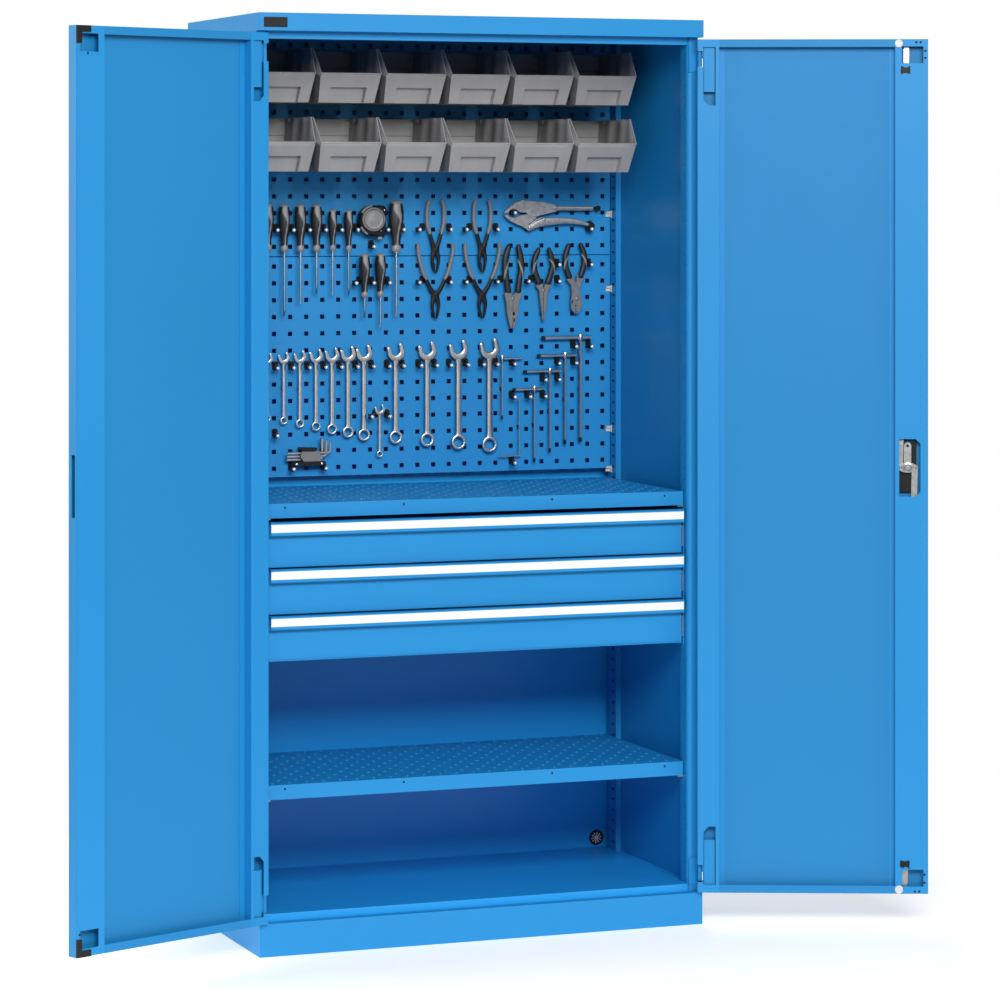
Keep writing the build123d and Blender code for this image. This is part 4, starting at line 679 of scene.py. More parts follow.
def make_bins(name, node, drop, wall, pocket):
    """A row of bins: thin boxes with a beaded rim, side tabs, two ribs on the rear wall and a hook."""
    sheet = bin_sheet(pocket)
    bead = []
    for s in (-1, 1):
        rim = np.array([[s * half_width(BIN_LIP_Z), BIN_LIP_Y, BIN_LIP_Z],
                        [s * BIN_RIM_X, BIN_BREAK_Y, BIN_RIM_Z], [s * BIN_RIM_X, 150.0, BIN_RIM_Z],
                        [s * BIN_RIM_X, BIN_REAR_Y - 1, BIN_RIM_Z]])
        rim = rim - (s * 1.2, 0.0, 1.5)
        bead.append(sweep(rim, 1.5, 1.9, 8, 4.0, facing=(0, -0.3, 1)))
        tab = rounded_box(24, 9, 4) + (BIN_REAR_Y - 26, BIN_RIM_Z - 4.6)
        grid = np.stack([np.column_stack([np.full(len(tab), s * (BIN_RIM_X - x)), tab]) for x in (1.0, 4.6)])
        bead.append(surface(grid, caps=True))
    lip = np.array([[-half_width(BIN_LIP_Z) + 1, BIN_LIP_Y + 1.6, BIN_LIP_Z - 1.4],
                    [half_width(BIN_LIP_Z) - 1, BIN_LIP_Y + 1.6, BIN_LIP_Z - 1.4]])
    bead.append(sweep(lip, 1.6, 1.6, 8, 4.0, facing=(0, 0, 1)))
    for z in (1900.0, 1858.0):
        rib = np.array([[-half_width(z) + 3, BIN_REAR_Y - 3.4, z], [half_width(z) - 3, BIN_REAR_Y - 3.4, z]])
        bead.append(sweep(rib, 1.4, 1.4, 8))
    hook = np.array([[BIN_REAR_Y - 2.5, 1928.6], [BIN_REAR_Y - 2.5, 1936.5], [BIN_REAR_Y + 6.0, 1936.5],
                     [BIN_REAR_Y + 6.0, 1918.0], [BIN_REAR_Y + 3.0, 1918.0], [BIN_REAR_Y + 3.0, 1928.6]])
    ends = [np.column_stack([np.full(len(hook), x), hook]) for x in (-56.0, 56.0)]
    bead.append(surface(np.stack(ends), caps=True))
    places = [((i - (BIN_COUNT - 1) / 2) * BIN_PITCH, 0.0, -drop) for i in range(BIN_COUNT)]
    shells = build(name + "_shells", [p for at in places for p in moved(sheet, at)], FINISH["bin_grey"],
                   "carcass", stands_for=(node,), sharp=30)
    thicken = shells.modifiers.new("wall", "SOLIDIFY")
    thicken.thickness = wall * MM
    thicken.offset = -1.0
    thicken.use_quality_normals = True
    build(name + "_rims", [p for at in places for p in moved(bead, at)], FINISH["bin_grey"],
          "carcass")


# ---------------------------------------------------------------- wrenches
WRENCH_COLUMNS = (-0.5, 0.5, 1.5, 2.5, 3.5, 4.5, 5.5, 7.5, 9.5, 11.5, 13.5)
WRENCH_TOP, WRENCH_RISE = 1256.0, 2.7           # top of the smallest, and from one to the next
WRENCH_LENGTH, WRENCH_GROWTH = 152.0, 11.1      # length of the smallest, and from one to the next


def wrench_row():
    """Place across, top and length of each graded wrench."""
    return [(column(k), WRENCH_TOP + WRENCH_RISE * i, WRENCH_LENGTH + WRENCH_GROWTH * i)
            for i, k in enumerate(WRENCH_COLUMNS)]


def wrench_parts(x, top, length, scale, sides):
    """Combination wrench: a flat oval shank, a horseshoe jaw leaned 15 degrees and a twelve-point ring."""
    jaw = 12.0 + 12.0 * scale
    ring = 7.5 + 11.5 * scale
    thick = (5.0 + 3.0 * scale) / 2
    shank = (7.0 + 7.0 * scale) / 2
    jaw_z = top - jaw * 0.95
    ring_z = top - length + ring
    mid = TOOL_Y - thick
    rows = curve([(x, mid, ring_z + ring * 0.72, shank * 1.35, thick * 0.95),
                  (x, mid, ring_z + ring * 1.5, shank * 0.98, thick * 0.8),
                  (x, mid, (ring_z + jaw_z) / 2, shank * 0.92, thick * 0.72),
                  (x, mid, jaw_z - jaw * 1.5, shank * 1.0, thick * 0.8),
                  (x, mid, jaw_z - jaw * 0.62, shank * 1.5, thick * 0.9)], 24)
    parts = [sweep(rows[:, :3], rows[:, 3], rows[:, 4], sides, 3.2, round_ends=False)]
    web = curve([(x, mid - thick * 0.55, ring_z + ring * 1.9, shank * 0.3, thick * 0.2),
                 (x, mid - thick * 0.62, (ring_z + jaw_z) / 2, shank * 0.42, thick * 0.22),
                 (x, mid - thick * 0.55, jaw_z - jaw * 1.6, shank * 0.3, thick * 0.2)], 12)
    parts.append(sweep(web[:, :3], web[:, 3], web[:, 4], 10, 2.6))
    lean = math.radians(15)
    throat = jaw * 0.74
    arc = np.linspace(-np.pi, 0, 19)
    prongs = np.column_stack([throat * np.cos(arc), throat * np.sin(arc)])
    reach = np.array([0.66, 0.44, 0.22])[:, None] * jaw
    left = np.column_stack([np.full(3, -throat * 0.98), reach[:, 0]])
    right = np.column_stack([np.full(3, throat * 0.98), reach[::-1, 0] * 1.06])
    path = np.vstack([left, prongs, right])
    bend = np.abs(np.linspace(-1, 1, len(path)))
    width = jaw * (0.36 - 0.17 * bend**1.6)
    turned_path = np.column_stack([path[:, 0] * math.cos(lean) - path[:, 1] * math.sin(lean),
                                   path[:, 0] * math.sin(lean) + path[:, 1] * math.cos(lean)])
    points = np.column_stack([x + turned_path[:, 0], np.full(len(path), mid), jaw_z + turned_path[:, 1]])
    parts.append(sweep(points, width, np.full(len(path), thick * 0.9), sides, 4.0))
    phi = np.linspace(0, 2 * np.pi, 48, endpoint=False)[:, None]
    psi = np.linspace(0, 2 * np.pi, sides, endpoint=False)[None]
    inner = ring * (0.60 + 0.035 * np.cos(12 * phi))
    outer = ring * 0.985
    c, s = power_round(np.cos(psi), 4.5), power_round(np.sin(psi), 4.5)
    radius = (outer + inner) / 2 + (outer - inner) / 2 * c
    torus = np.stack([x + radius * np.cos(phi), mid + thick * 0.98 * s + 0 * radius,
                      ring_z + radius * np.sin(phi)], -1)
    parts.append(surface(torus, (True, True)))
    return parts


def make_wrenches(sides):
    """The graded row of wrenches and the small one under it."""
    parts = []
    row = wrench_row()
    for i, (x, top, length) in enumerate(row):
        parts += wrench_parts(x, top, length, i / (len(row) - 1), sides)
    parts += wrench_parts(column(6.5), low(8.3), 120.0, 0.0, sides)
    build("wrench_set", parts, FINISH["tool_steel"], "carcass",
          stands_for=("wrenches",), sharp=40)


# ---------------------------------------------------------------- screwdrivers
DRIVER_Y = PANEL_Y - 26.0                       # axes of the screwdrivers
DRIVER_ASIDE = 3.0                              # each hangs a little left of its hole column
GRIP_DEPTH = 12.5                               # no grip is deeper than this from its axis
# hole column, tip height, top height, grip radius, grip length
DRIVERS = ((-0.5, 1325.0, 1595.0, 13.5, 108.0), (0.5, 1340.0, 1593.0, 13.5, 108.0),
           (1.5, 1368.0, 1593.0, 13.5, 108.0), (2.5, 1390.0, 1593.0, 13.5, 108.0),
           (3.5, 1387.0, 1581.0, 10.5, 94.0), (4.5, 1387.0, 1580.0, 10.5, 94.0),
           (7.5, 1337.0, 1601.0, 17.5, 118.0), (5.5, 1335.0, 1480.0, 12.5, 100.0),
           (6.5, 1312.0, 1481.0, 12.5, 100.0))


def driver_grip(x, top, radius, length):
    """Waisted grip: a turned profile with six shallow flats that fade at both ends, and its two tones."""
    rows = curve([(0.24, -1.0), (0.36, -1.0), (0.58, -0.97), (0.66, -0.93), (0.56, -0.86), (0.60, -0.76),
                  (0.74, -0.64), (0.92, -0.50), (1.0, -0.36), (0.99, -0.22), (0.90, -0.10), (0.68, -0.03),
                  (0.36, -0.004), (0.0, 0.0)], 60)
    rows[:, 0] = np.maximum(rows[:, 0], 0.0) * radius
    rows[-1, 0] = 0.0
    rows[:, 1] = np.minimum(rows[:, 1], 0.0)
    turn = np.linspace(0, 2 * np.pi, 36, endpoint=False)
    height = rows[:, 1:] + 1
    flats = 1 - (0.05 * (0.5 - 0.5 * np.cos(6 * turn))[None] * step(-rows[:, 1:], 0.08, 0.1)
                 * step(height, 0.22, 0.12))
    r = rows[:, :1] * flats
    squash = min(1.0, GRIP_DEPTH / radius)
    points = np.stack([x + r * np.sin(turn), DRIVER_Y - r * squash * np.cos(turn),
                       top + rows[:, 1:] * length + 0 * r], -1)
    lean = 0.1 + 0.4 * step(height, 0.5, 0.5) - 0.55 * step(height, 0.72, 0.25)
    spread = (0.14 + 0.4 * step(height, 0.72, 0.3) + 3.2 * step(height, 0.955, 0.05)
              + 3.2 * step(-height, -0.12, 0.05))
    away = np.abs((turn[None] - lean + np.pi) % (2 * np.pi) - np.pi)
    tone = step(spread - away, 0.0, 0.12)
    return surface(points), tone


def make_drivers():
    """Two-colour grips, and round blades with a bolster and a flattened or crossed tip."""
    grips, tones, blades = [], [], []
    for i, (k, tip, top, radius, length) in enumerate(DRIVERS):
        x = column(k) - DRIVER_ASIDE
        part, tone = driver_grip(x, top, radius, length)
        grips.append(part)
        tones.append(tone.ravel())
        r = 1.4 + 0.08 * radius
        z0 = top - length
        rows = np.array([(0.0, z0 + 1.0), (r * 1.7, z0 + 1.0), (r * 1.7, z0 - 1.5), (r, z0 - 3.0),
                         (r, tip + 16.0), (r * 0.98, tip + 9.0), (r * 0.8, tip + 1.0), (r * 0.4, tip),
                         (0.0, tip)])
        turn = np.linspace(0, 2 * np.pi, 20, endpoint=False)
        crossed = np.ones((len(rows), len(turn)))
        squash = np.ones((len(rows), 1))
        if i % 2:
            crossed[5:8] = 1 - 0.45 * (0.5 - 0.5 * np.cos(4 * turn))
        else:
            squash[5:8, 0] = (0.7, 0.32, 0.3)
        ring = rows[:, :1] * crossed
        points = np.stack([x + ring * np.cos(turn), DRIVER_Y + ring * squash * np.sin(turn),
                           rows[:, 1:] + 0 * ring], -1)
        blades.append(surface(points))
    build("driver_grips", grips, FINISH["driver_grip"], "carcass",
          stands_for=("screwdriver_handles",), sharp=60, weld=False, tone=np.concatenate(tones))
    build("driver_blades", blades, FINISH["tool_steel"], "carcass",
          stands_for=("screwdriver_blades",))


# ---------------------------------------------------------------- pliers
def limb(rows, depth, y, count, sides, power, round_ends=True):
    """Limb of a hand tool: rows of (x, z, half width) joined smoothly and carried as an oval at one depth."""
    line = curve(rows, count)
    path = np.column_stack([line[:, 0], np.full(count, y), line[:, 1]])
    return sweep(path, np.maximum(line[:, 2], 0.3), depth, sides, power, round_ends=round_ends)


def cranked(rows, y, half):
    """Cushioned grip through rows of (x, z, half width); its thin pale inlay is a slanted band of tone."""
    count, sides = 34, 18
    line = curve(rows, count)
    path = np.column_stack([line[:, 0], np.full(count, y), line[:, 1]])
    part = sweep(path, line[:, 2], half, sides, 2.4)
    along = np.linspace(0, 1, len(part[0]) // sides)[:, None]
    round_it = np.cos(np.linspace(0, 2 * np.pi, sides, endpoint=False))[None]
    slant = 1 if rows[0][0] > rows[1][0] else -1
    band = np.abs(along - 0.5 - 0.16 * slant * round_it)
    return part, step(0.03 - band, 0, 0.025).ravel()


# each handle of the three pliers, which hang head down: (x, z, half width) from the head up to its end
GRIPS = (((235.0, 1391, 7.2), (231.0, 1417, 6.6), (228.0, 1440, 7.6), (229.0, 1469, 7.6), (236.0, 1494, 5.6)),
         ((259.0, 1391, 7.2), (262.0, 1417, 6.6), (267.0, 1440, 7.6), (265.0, 1469, 7.6), (260.0, 1494, 5.6)),
         ((311.0, 1410, 7.6), (302.5, 1431, 6.6), (298.5, 1452, 6.8), (302.0, 1470, 6.6), (309.5, 1487, 4.8)),
         ((333.0, 1410, 7.6), (340.0, 1431, 6.6), (345.0, 1452, 6.8), (341.0, 1470, 6.6), (335.5, 1487, 4.8)),
         ((386.5, 1423, 6.6), (379.5, 1441, 6.4), (376.0, 1460, 6.8), (378.5, 1478, 6.6), (384.0, 1496, 5.2)),
         ((414.5, 1425, 6.6), (420.5, 1443, 6.4), (424.0, 1462, 6.8), (421.5, 1480, 6.6), (414.5, 1497, 5.2)))


# hole column, top, tips and half spread of the handles of the retaining ring pliers
RING_PLIERS = ((10, 1604.0, 1435.0, 20.0), (13, 1604.0, 1435.0, 20.0),
               (10, 1503.0, 1330.0, 40.0), (13, 1503.0, 1330.0, 40.0))


def ring_pivot(k, top, tips):
    """Place across and height of a ring plier's pivot: three tenths up from its tips."""
    return column(k) + 1.0, tips + (top - tips) * 0.3


def make_pliers():
    """Three pliers with black grips: flat jaws, notches as dark plates of painted shade, bright edges and
    cushions.
    """
    y0, y1 = TOOL_Y - 1.0, TOOL_Y - 9.0
    heads = [slab([(224.5, 1386), (237, 1391), (245.5, 1383), (245.5, 1345), (244.6, 1306), (240.0, 1305),
                   (234.7, 1325), (230.3, 1347), (230.0, 1362)], y0, y1),
             slab([(246.3, 1383), (257, 1391), (268.5, 1386), (260.5, 1366), (259.5, 1347), (254.5, 1325),
                   (248.5, 1305), (245.4, 1306)], y0, y1),
             slab([(302, 1403), (313, 1411), (320.8, 1401), (321.0, 1322), (318.8, 1322), (312, 1375),
                   (310.5, 1392)], y0, y1),
             slab([(321.6, 1401), (330, 1411), (341, 1404), (332, 1390), (330.5, 1375), (323.6, 1322),
                   (321.4, 1322)], y0, y1),
             slab([(406, 1429), (422.5, 1421), (415, 1405), (411, 1388), (402, 1398)], y0, y1 + 3),
             slab([(378.5, 1417), (392, 1426), (403, 1408), (411, 1387), (417.4, 1366), (417, 1353),
                   (411, 1341), (403, 1336), (396, 1341), (390.5, 1349), (389, 1362), (391.7, 1385),
                   (389.5, 1404)], y0, y1)]
    heads += [head((x, y1, z), r, height=1.2)
              for x, z, r in ((245.6, 1374, 4.2), (321.2, 1392, 3.6), (403.5, 1372, 4.0))]
    build("plier_jaws", heads, FINISH["plier_steel"], "carcass", bevel=1.1)
    t = np.linspace(0, 2 * np.pi, 14, endpoint=False)
    # the gaps between the jaws: dark plates of painted shade on the jaws' faces
    notches = [slab(np.column_stack([rx * np.cos(t), rz * np.sin(t)]) + (x, z), y1 + 0.6, y1 - 0.25)
               for x, z, rx, rz in ((247.5, 1339, 3.2, 4.4), (248.3, 1325, 1.6, 5.0), (321.1, 1400, 1.6, 2.2),
                                    (392.5, 1365, 1.7, 3.4), (400.5, 1356, 2.2, 1.8))]
    build("plier_notch_shade", notches, FINISH["black_plastic"], "carcass")
    edges = [slab([(397.5, 1352), (403.5, 1350), (405.5, 1337), (400.5, 1338)], y1 + 1, y1 - 0.5),
             slab([(389.4, 1366), (391.4, 1367), (392.0, 1358), (389.8, 1359)], y1 + 1, y1 - 0.5),
             slab([(243.8, 1333), (251.5, 1333), (250.8, 1330), (244.3, 1330)], y1 + 1, y1 - 0.4)]
    build("plier_edges", edges, FINISH["bright_steel"], "carcass")
    cushions = [cranked(rows, TOOL_Y - 6.0, 5.6) for rows in GRIPS]
    build("plier_grips", [part for part, _ in cushions], FINISH["plier_grip"], "carcass",
          sharp=60, weld=False, tone=np.concatenate([tone for _, tone in cushions]))


def make_ring_pliers():
    """Four retaining ring pliers with dipped grips, two of them spread wide."""
    noses, dipped = [], []
    y = TOOL_Y - 3.8
    for k, top, tips, spread in RING_PLIERS:
        x, pivot = ring_pivot(k, top, tips)
        split = pivot + 30
        if spread > 30:
            foot = spread * 0.62
            rows = [(foot * 0.92, split + 9, 4.4), (foot * 1.2, split + 24, 4.6),
                    (spread * 0.93, split + 48, 4.4), (spread * 1.04, split + 70, 4.2),
                    (spread * 1.06, top - 4, 4.0)]
        else:
            foot = spread * 0.72
            rows = [(foot * 0.94, split + 9, 4.4), (spread * 0.96, split + 28, 4.6),
                    (spread * 1.04, split + 50, 4.4), (spread * 0.98, split + 72, 4.2),
                    (spread * 0.8, top - 4, 4.0)]
        for s in (-1, 1):
            noses.append(limb([(x + s * foot, split + 12, 4.0), (x + s * foot * 0.52, pivot + 18, 4.5),
                               (x + s * 2.5, pivot + 3, 6.4), (x + s * 6.8, pivot - 14, 4.4),
                               (x + s * 7.4, pivot - 26, 3.2), (x + s * 4.6, tips + 10, 2.6),
                               (x + s * 2.6, tips + 1.5, 1.7)], 3.5, y, 30, 12, 3.0))
            dipped.append(limb([(x + s * dx, z, w) for dx, z, w in rows], 4.0, y, 26, 12, 2.0))
        noses.append(head((x, TOOL_Y - 6.8, pivot + 2), 6.5, height=1.3))
    build("ring_plier_noses", noses + locking_knob(), FINISH["black_plastic"], "carcass",
          stands_for=("pliers_black",))
    build("ring_plier_grips", dipped, FINISH["grip_grey"], "carcass",
          stands_for=("pliers_grey_grips",))


def locking_knob():
    """The locking pliers' adjusting screw and the black clip over the lever's tip."""
    mid = TOOL_Y - 6.0
    knob = turned([(0.0, -1.0), (4.6, -1.0), (4.6, 3.0), (3.0, 4.0), (3.0, 9.0), (5.6, 10.0), (6.6, 12.0),
                   (6.6, 17.0), (5.0, 19.5), (0.0, 19.5)], (443.0, mid, 1582.0), (1, 0, 0), 36, 12, 0.16)
    tip = slab([(429, 1550), (437, 1554), (448, 1545), (446.5, 1530), (430, 1530), (427, 1540)], TOOL_Y - 0.5,
               TOOL_Y - 11)
    return [knob, tip]


def make_locking_pliers():
    """Locking pliers: a hooked upper jaw in a folded plate, a tube, a lower jaw and a bowed lever."""
    jaw = slab([(223.7, 1570.2), (229, 1578), (237, 1585), (250, 1595), (267.7, 1601.2), (274, 1594),
                (277, 1580), (279, 1571.5), (262, 1574), (256, 1579), (247, 1581), (238, 1578), (234, 1571)],
               TOOL_Y - 1.5, TOOL_Y - 9)
    plate = slab([(268.5, 1601.2), (290, 1598.6), (321, 1596.6), (340, 1592.5), (352, 1588.6), (356, 1582),
                  (352, 1574.6), (321, 1568), (304, 1563.5), (286, 1562), (279, 1571), (274, 1583)],
                 TOOL_Y - 1, TOOL_Y - 11)
    tube = limb([(346, 1582.5, 7.6), (356, 1582.6, 6.4), (374, 1582.5, 5.8), (420, 1582, 5.6),
                 (444, 1582, 5.4)], 5.4, TOOL_Y - 6, 24, 16, 3.0, round_ends=False)
    lower = slab([(223.7, 1568.4), (234, 1567.0), (238, 1562.5), (247, 1560.5), (256, 1562.5), (262, 1566),
                  (279, 1569), (288, 1566), (304, 1562), (296, 1553), (284, 1545), (288, 1530.5),
                  (285, 1529.5), (272, 1539), (254.5, 1546), (239, 1553.5), (228, 1562)],
                 TOOL_Y - 1.5, TOOL_Y - 9.5)
    lever = limb([(287, 1535, 4.6), (300, 1543, 7.6), (318, 1549.5, 9.6), (342, 1552.5, 9.2),
                  (368, 1553.2, 7.6), (395, 1552.0, 6.4), (418, 1548, 4.8), (432, 1544, 3.8)],
                 5.2, TOOL_Y - 6.2, 40, 18, 4.0)
    rail = limb([(284, 1541, 1.8), (303, 1555.5, 1.6), (318, 1561.5, 1.4)], 1.2, TOOL_Y - 11.6, 16, 10, 3.0)
    rivets = [head((x, TOOL_Y - 11.0, z), r, height=1.8) for x, z, r in
              ((289.7, 1577, 3.6), (321.7, 1557, 3.8), (357.2, 1556.5, 3.2), (286.5, 1538, 4.0))]
    rivets += [head((x, TOOL_Y - 11.0, z), 1.7, height=0.8) for x, z in ((276.5, 1591.5), (301.8, 1590.4))]
    build("locking_pliers", [jaw, plate, tube, lower, lever, rail, *rivets], FINISH["pale_steel"], "carcass",
          stands_for=("pliers_steel",), bevel=1.3)


# ---------------------------------------------------------------- keys, holder and tape measure
KEY_Y = TOOL_Y - 4.0                            # axes of the T keys
KEY_CAP = 7.0                                   # length of the dark end of a T key's bar
KEY_TIP = 9.0                                   # length of its dark tip
HOLDER_LEFT, HOLDER_RIGHT, HOLDER_Z = column(0.95), column(2.95), low(11.35)
# hole columns of shank, left end and right end, heights of bar and tip, half thickness
KEYS = ((14.3, 14.2, 15.6, 1236.0, 1096.0, 2.1), (16.4, 15.0, 16.9, 1164.0, 996.0, 2.8),
        (17.4, 15.7, 18.1, 1205.0, 1018.0, 3.1), (18.4, 16.6, 19.1, 1241.0, 1036.0, 3.6),
        (19.4, 16.9, 20.1, 1282.0, 1041.0, 4.5))


def rod(points, radius):
    """Six-sided rod of even thickness through points, with chamfered ends."""
    points = np.asarray(points, float)
    ends = unit(points[[0, -1]] - points[[1, -2]]) * 0.25 * radius
    path = np.vstack([points[:1] + ends[:1], points, points[-1:] + ends[1:]])
    size = np.full(len(path), radius)
    size[[0, -1]] = 0.72 * radius
    return sweep(path, size, size, 6, round_ends=False)


def make_keys():
    """T keys, the thin one on its bar, and three bent keys, all six-sided; dark tips slip over their ends."""
    steel, tips = [], []
    for k, left, right, bar_z, tip, radius in KEYS:
        x = column(k)
        cap_x = column(left) + KEY_CAP
        shank_end = (x, KEY_Y, tip + KEY_TIP)
        steel.append(rod([(x, KEY_Y, bar_z + radius + 3.0), (x, KEY_Y, bar_z), shank_end], radius))
        steel.append(rod([(cap_x, KEY_Y, bar_z), (column(right), KEY_Y, bar_z)], radius + 0.5))
        steel.append(turned([(0.0, -8.0), (radius + 1.4, -8.0), (radius + 1.9, -7.0), (radius + 1.9, 7.0),
                             (radius + 1.4, 8.0), (0.0, 8.0)], (x, KEY_Y, bar_z), (0, 0, 1), 18))
        tips.append(rod([shank_end, (x, KEY_Y, tip)], radius * 0.98))
        tips.append(rod([(column(left), KEY_Y, bar_z), (cap_x, KEY_Y, bar_z)], radius + 0.45))
    x = column(15.4)
    steel.append(rod([(x, KEY_Y, 1144.0), (x, KEY_Y, 1011.0)], 1.6))
    steel.append(rod([(column(14.1), KEY_Y, 1011.0), (x + 5, KEY_Y, 1011.0)], 1.9))
    t = np.linspace(-np.pi / 2, 0, 7)
    for i in range(3):
        xk, yk, zk = HOLDER_RIGHT - 5 + 9 * i, TOOL_Y - 8 - 3 * i, HOLDER_Z - 4 + 7.4 * i
        bend = np.column_stack([xk - 7 + 7 * np.cos(t), np.full(len(t), yk), zk + 7 + 7 * np.sin(t)])
        path = [[HOLDER_LEFT - 12, yk, zk], [HOLDER_LEFT + 20, yk, zk], bend, [xk, yk, zk + 46 - 12 * i]]
        steel.append(rod(np.vstack(path), 4.0 - 0.5 * i))
    build("hex_key_set", steel, FINISH["tool_steel"], "carcass", stands_for=("hex_keys",))
    build("key_tips", tips, FINISH["black_steel"], "carcass")


def make_key_holder():
    """Folding key holder: two black side rails with pivot screws and a grey bridge plate over the keys."""
    x0, x1, z = HOLDER_LEFT, HOLDER_RIGHT, HOLDER_Z
    y0, y1 = TOOL_Y, TOOL_Y - 22
    rails = [slab([(x0, z - 19), (x1 - 4, z - 19), (x1, z - 15), (x1, z - 9), (x0, z - 9)], y0, y1),
             slab([(x0 + 22, z + 14), (x1 - 26, z + 14), (x1 - 20, z + 17), (x1 - 20, z + 22),
                   (x0 + 18, z + 22), (x0 + 16, z + 18)], y0, y1),
             slab([(x0 + 18, z - 18), (x1 - 18, z - 18), (x1 - 18, z + 22), (x0 + 18, z + 22)], y0, y0 - 4)]
    build("holder_rails", rails, FINISH["black_plastic"], "carcass",
          stands_for=("key_holder",), bevel=1.2)
    plate = slab([(x0 + 24, z - 9), (x1 - 8, z - 9), (x1 - 14, z + 15), (x0 + 20, z + 15), (x0 + 17, z + 2)],
                 y1 + 5, y1 + 1)
    build("holder_bridge", [plate], FINISH["grip_grey"], "carcass", bevel=1.5)
    heads = [head((x, y1, z - 14), 3.2, height=1.4) for x in (x0 + 8, x1 - 9)]
    build("holder_screws", heads, FINISH["bright_steel"], "carcass")


TAPE_X, TAPE_Z = -99.0, 1555.0                  # middle of the tape measure


def pillow(outline, centre, levels):
    """Case from an outline scaled at each level: rows of (depth before the tool plane, share of size)."""
    rows = [np.column_stack([centre[0] + outline[:, 0] * k, np.full(len(outline), TOOL_Y - d),
                             centre[1] + outline[:, 1] * k]) for d, k in levels]
    return surface(np.stack(rows), caps=True)


def make_tape():
    """Tape measure: a domed case, square on the right, with grey bumpers, bare disc, screws and blade end."""
    x, z = TAPE_X, TAPE_Z
    disc_centre = (x + 1, TOOL_Y - 26, z + 3)
    arc = np.linspace(np.pi / 2, 3 * np.pi / 2, 15)
    outline = np.vstack([np.column_stack([-2 + 30 * np.cos(arc), 34 * np.sin(arc)]),
                         [(12, -37), (27, -37), (32, -31), (32, -8), (30.5, 4), (33, 18), (32, 30), (27, 34),
                          (20, 35)]])
    case = pillow(outline, (x, z), [(0, 0.93), (2, 1.0), (19, 1.0), (24, 0.95), (26.5, 0.84)])
    build("tape_case", [case], FINISH["black_plastic"], "carcass",
          stands_for=("tape_measure",), bevel=0.6)
    hoop = turned([(23.5, -2.0), (27.0, -2.0), (27.0, 0.5), (25.5, 1.8), (23.9, 1.8), (23.3, 0.5),
                   (23.5, -2.0)], disc_centre, sides=48)
    bumpers = []
    for a0, a1 in ((0.52, 0.80), (1.16, 1.36)):
        a = np.linspace(a0 * np.pi, a1 * np.pi, 12)
        path = np.column_stack([x - 2 + 28.6 * np.cos(a), np.full(len(a), TOOL_Y - 22.5),
                                z + 32.6 * np.sin(a)])
        bumpers.append(sweep(path, 2.6, 3.4, power=2.6))
    build("tape_hoop", [hoop, *bumpers], FINISH["grip_grey"], "carcass")
    disc = turned([(0.0, -1.0), (22.8, -1.0), (22.8, 0.8), (21.6, 1.6), (19.6, 1.2), (12.0, 2.0),
                   (0.0, 2.4)], disc_centre, sides=48)
    build("tape_disc", [disc], FINISH["plier_steel"], "carcass")
    heads = [head((x + dx, TOOL_Y - 25.8, z + dz), 2.0) for dx, dz in ((26, 24), (18, -23))]
    end = slab([(x + 14, z - 35), (x + 23, z - 35), (x + 23, z - 42), (x + 14, z - 42)],
               TOOL_Y - 6, TOOL_Y - 18)
    build("tape_screws", [end, *heads], FINISH["bright_steel"], "carcass")


# ---------------------------------------------------------------- hooks
# every hook by its hole column and height
HOOKS = [(k, high(1)) for k in (0, 1, 2, 3, 4, 5, 7, 8, 9, 11, 12, 14, 20)]
HOOKS += [(6, high(0)), (15, high(2)), (18, low(0)), (20, low(0)), (0, low(10)), (15, low(12)), (1, low(12)),
          (3, low(12))]
HOOKS += [(k, low(1)) for k in (5, 6, 7, 9, 11, 12, 14, 16, 18)]
HOOKS += [(k, low(5)) for k in (19, 20)] + [(k, low(6)) for k in (*range(16), 18, 19)]
HOOKS += [(k, low(7)) for k in (17, 18)] + [(k, low(8)) for k in (15, 16, 17)] + [(k, low(9)) for k in (6, 7)]
# hooks whose ball stands well to the left of the foot
LEFT_HOOKS = ((9, high(1)), (12, high(1)), (7, high(1)), (5, low(1)), (9, low(1)), (12, low(1)),
              (14, low(1)), (16, low(1)), (6, low(9)))
LEFT_COLUMNS = (8, 11, 14, 18)                  # hole columns whose hooks stand a little to the left
HOOK_L = 34.0                                   # panel to the end of the arm


def keeper_pads():
    """Hidden keepers between the panel and each hung tool: small blocks as deep as the gap."""
    spots = [(x, top - length / 2, TOOL_Y) for x, top, length in wrench_row()]
    spots += [(column(6.5), low(10), TOOL_Y), (column(5.98), TAPE_Z - 3, TOOL_Y),
              (column(1.95), HOLDER_Z, TOOL_Y)]
    spots += [(column(k) - DRIVER_ASIDE, top - 30, DRIVER_Y + 8) for k, _, top, _, _ in DRIVERS]
    spots += [(column(k), (bar + tip) / 2, KEY_Y + r) for k, _, _, bar, tip, r in KEYS]
    spots += [(column(15.4), 1077.5, KEY_Y + 1.5), (300.0, 1580.0, TOOL_Y - 1.5),
              (400.0, 1582.0, TOOL_Y - 1.0)]
    spots += [(245.5, 1365, TOOL_Y - 1), (321.0, 1380, TOOL_Y - 1), (403.0, 1372, TOOL_Y - 1)]
    spots += [(rows[2][0], rows[2][1], TOOL_Y - 1.0) for rows in GRIPS]
    for k, top, tips, _ in RING_PLIERS:
        x, pivot = ring_pivot(k, top, tips)
        spots.append((x, pivot, TOOL_Y))
    pad = np.array([(-1.2, -4), (2.4, -4), (2.4, 4), (-1.2, 4)])
    return [slab(pad + (x, z), PANEL_Y, y) for x, z, y in spots]


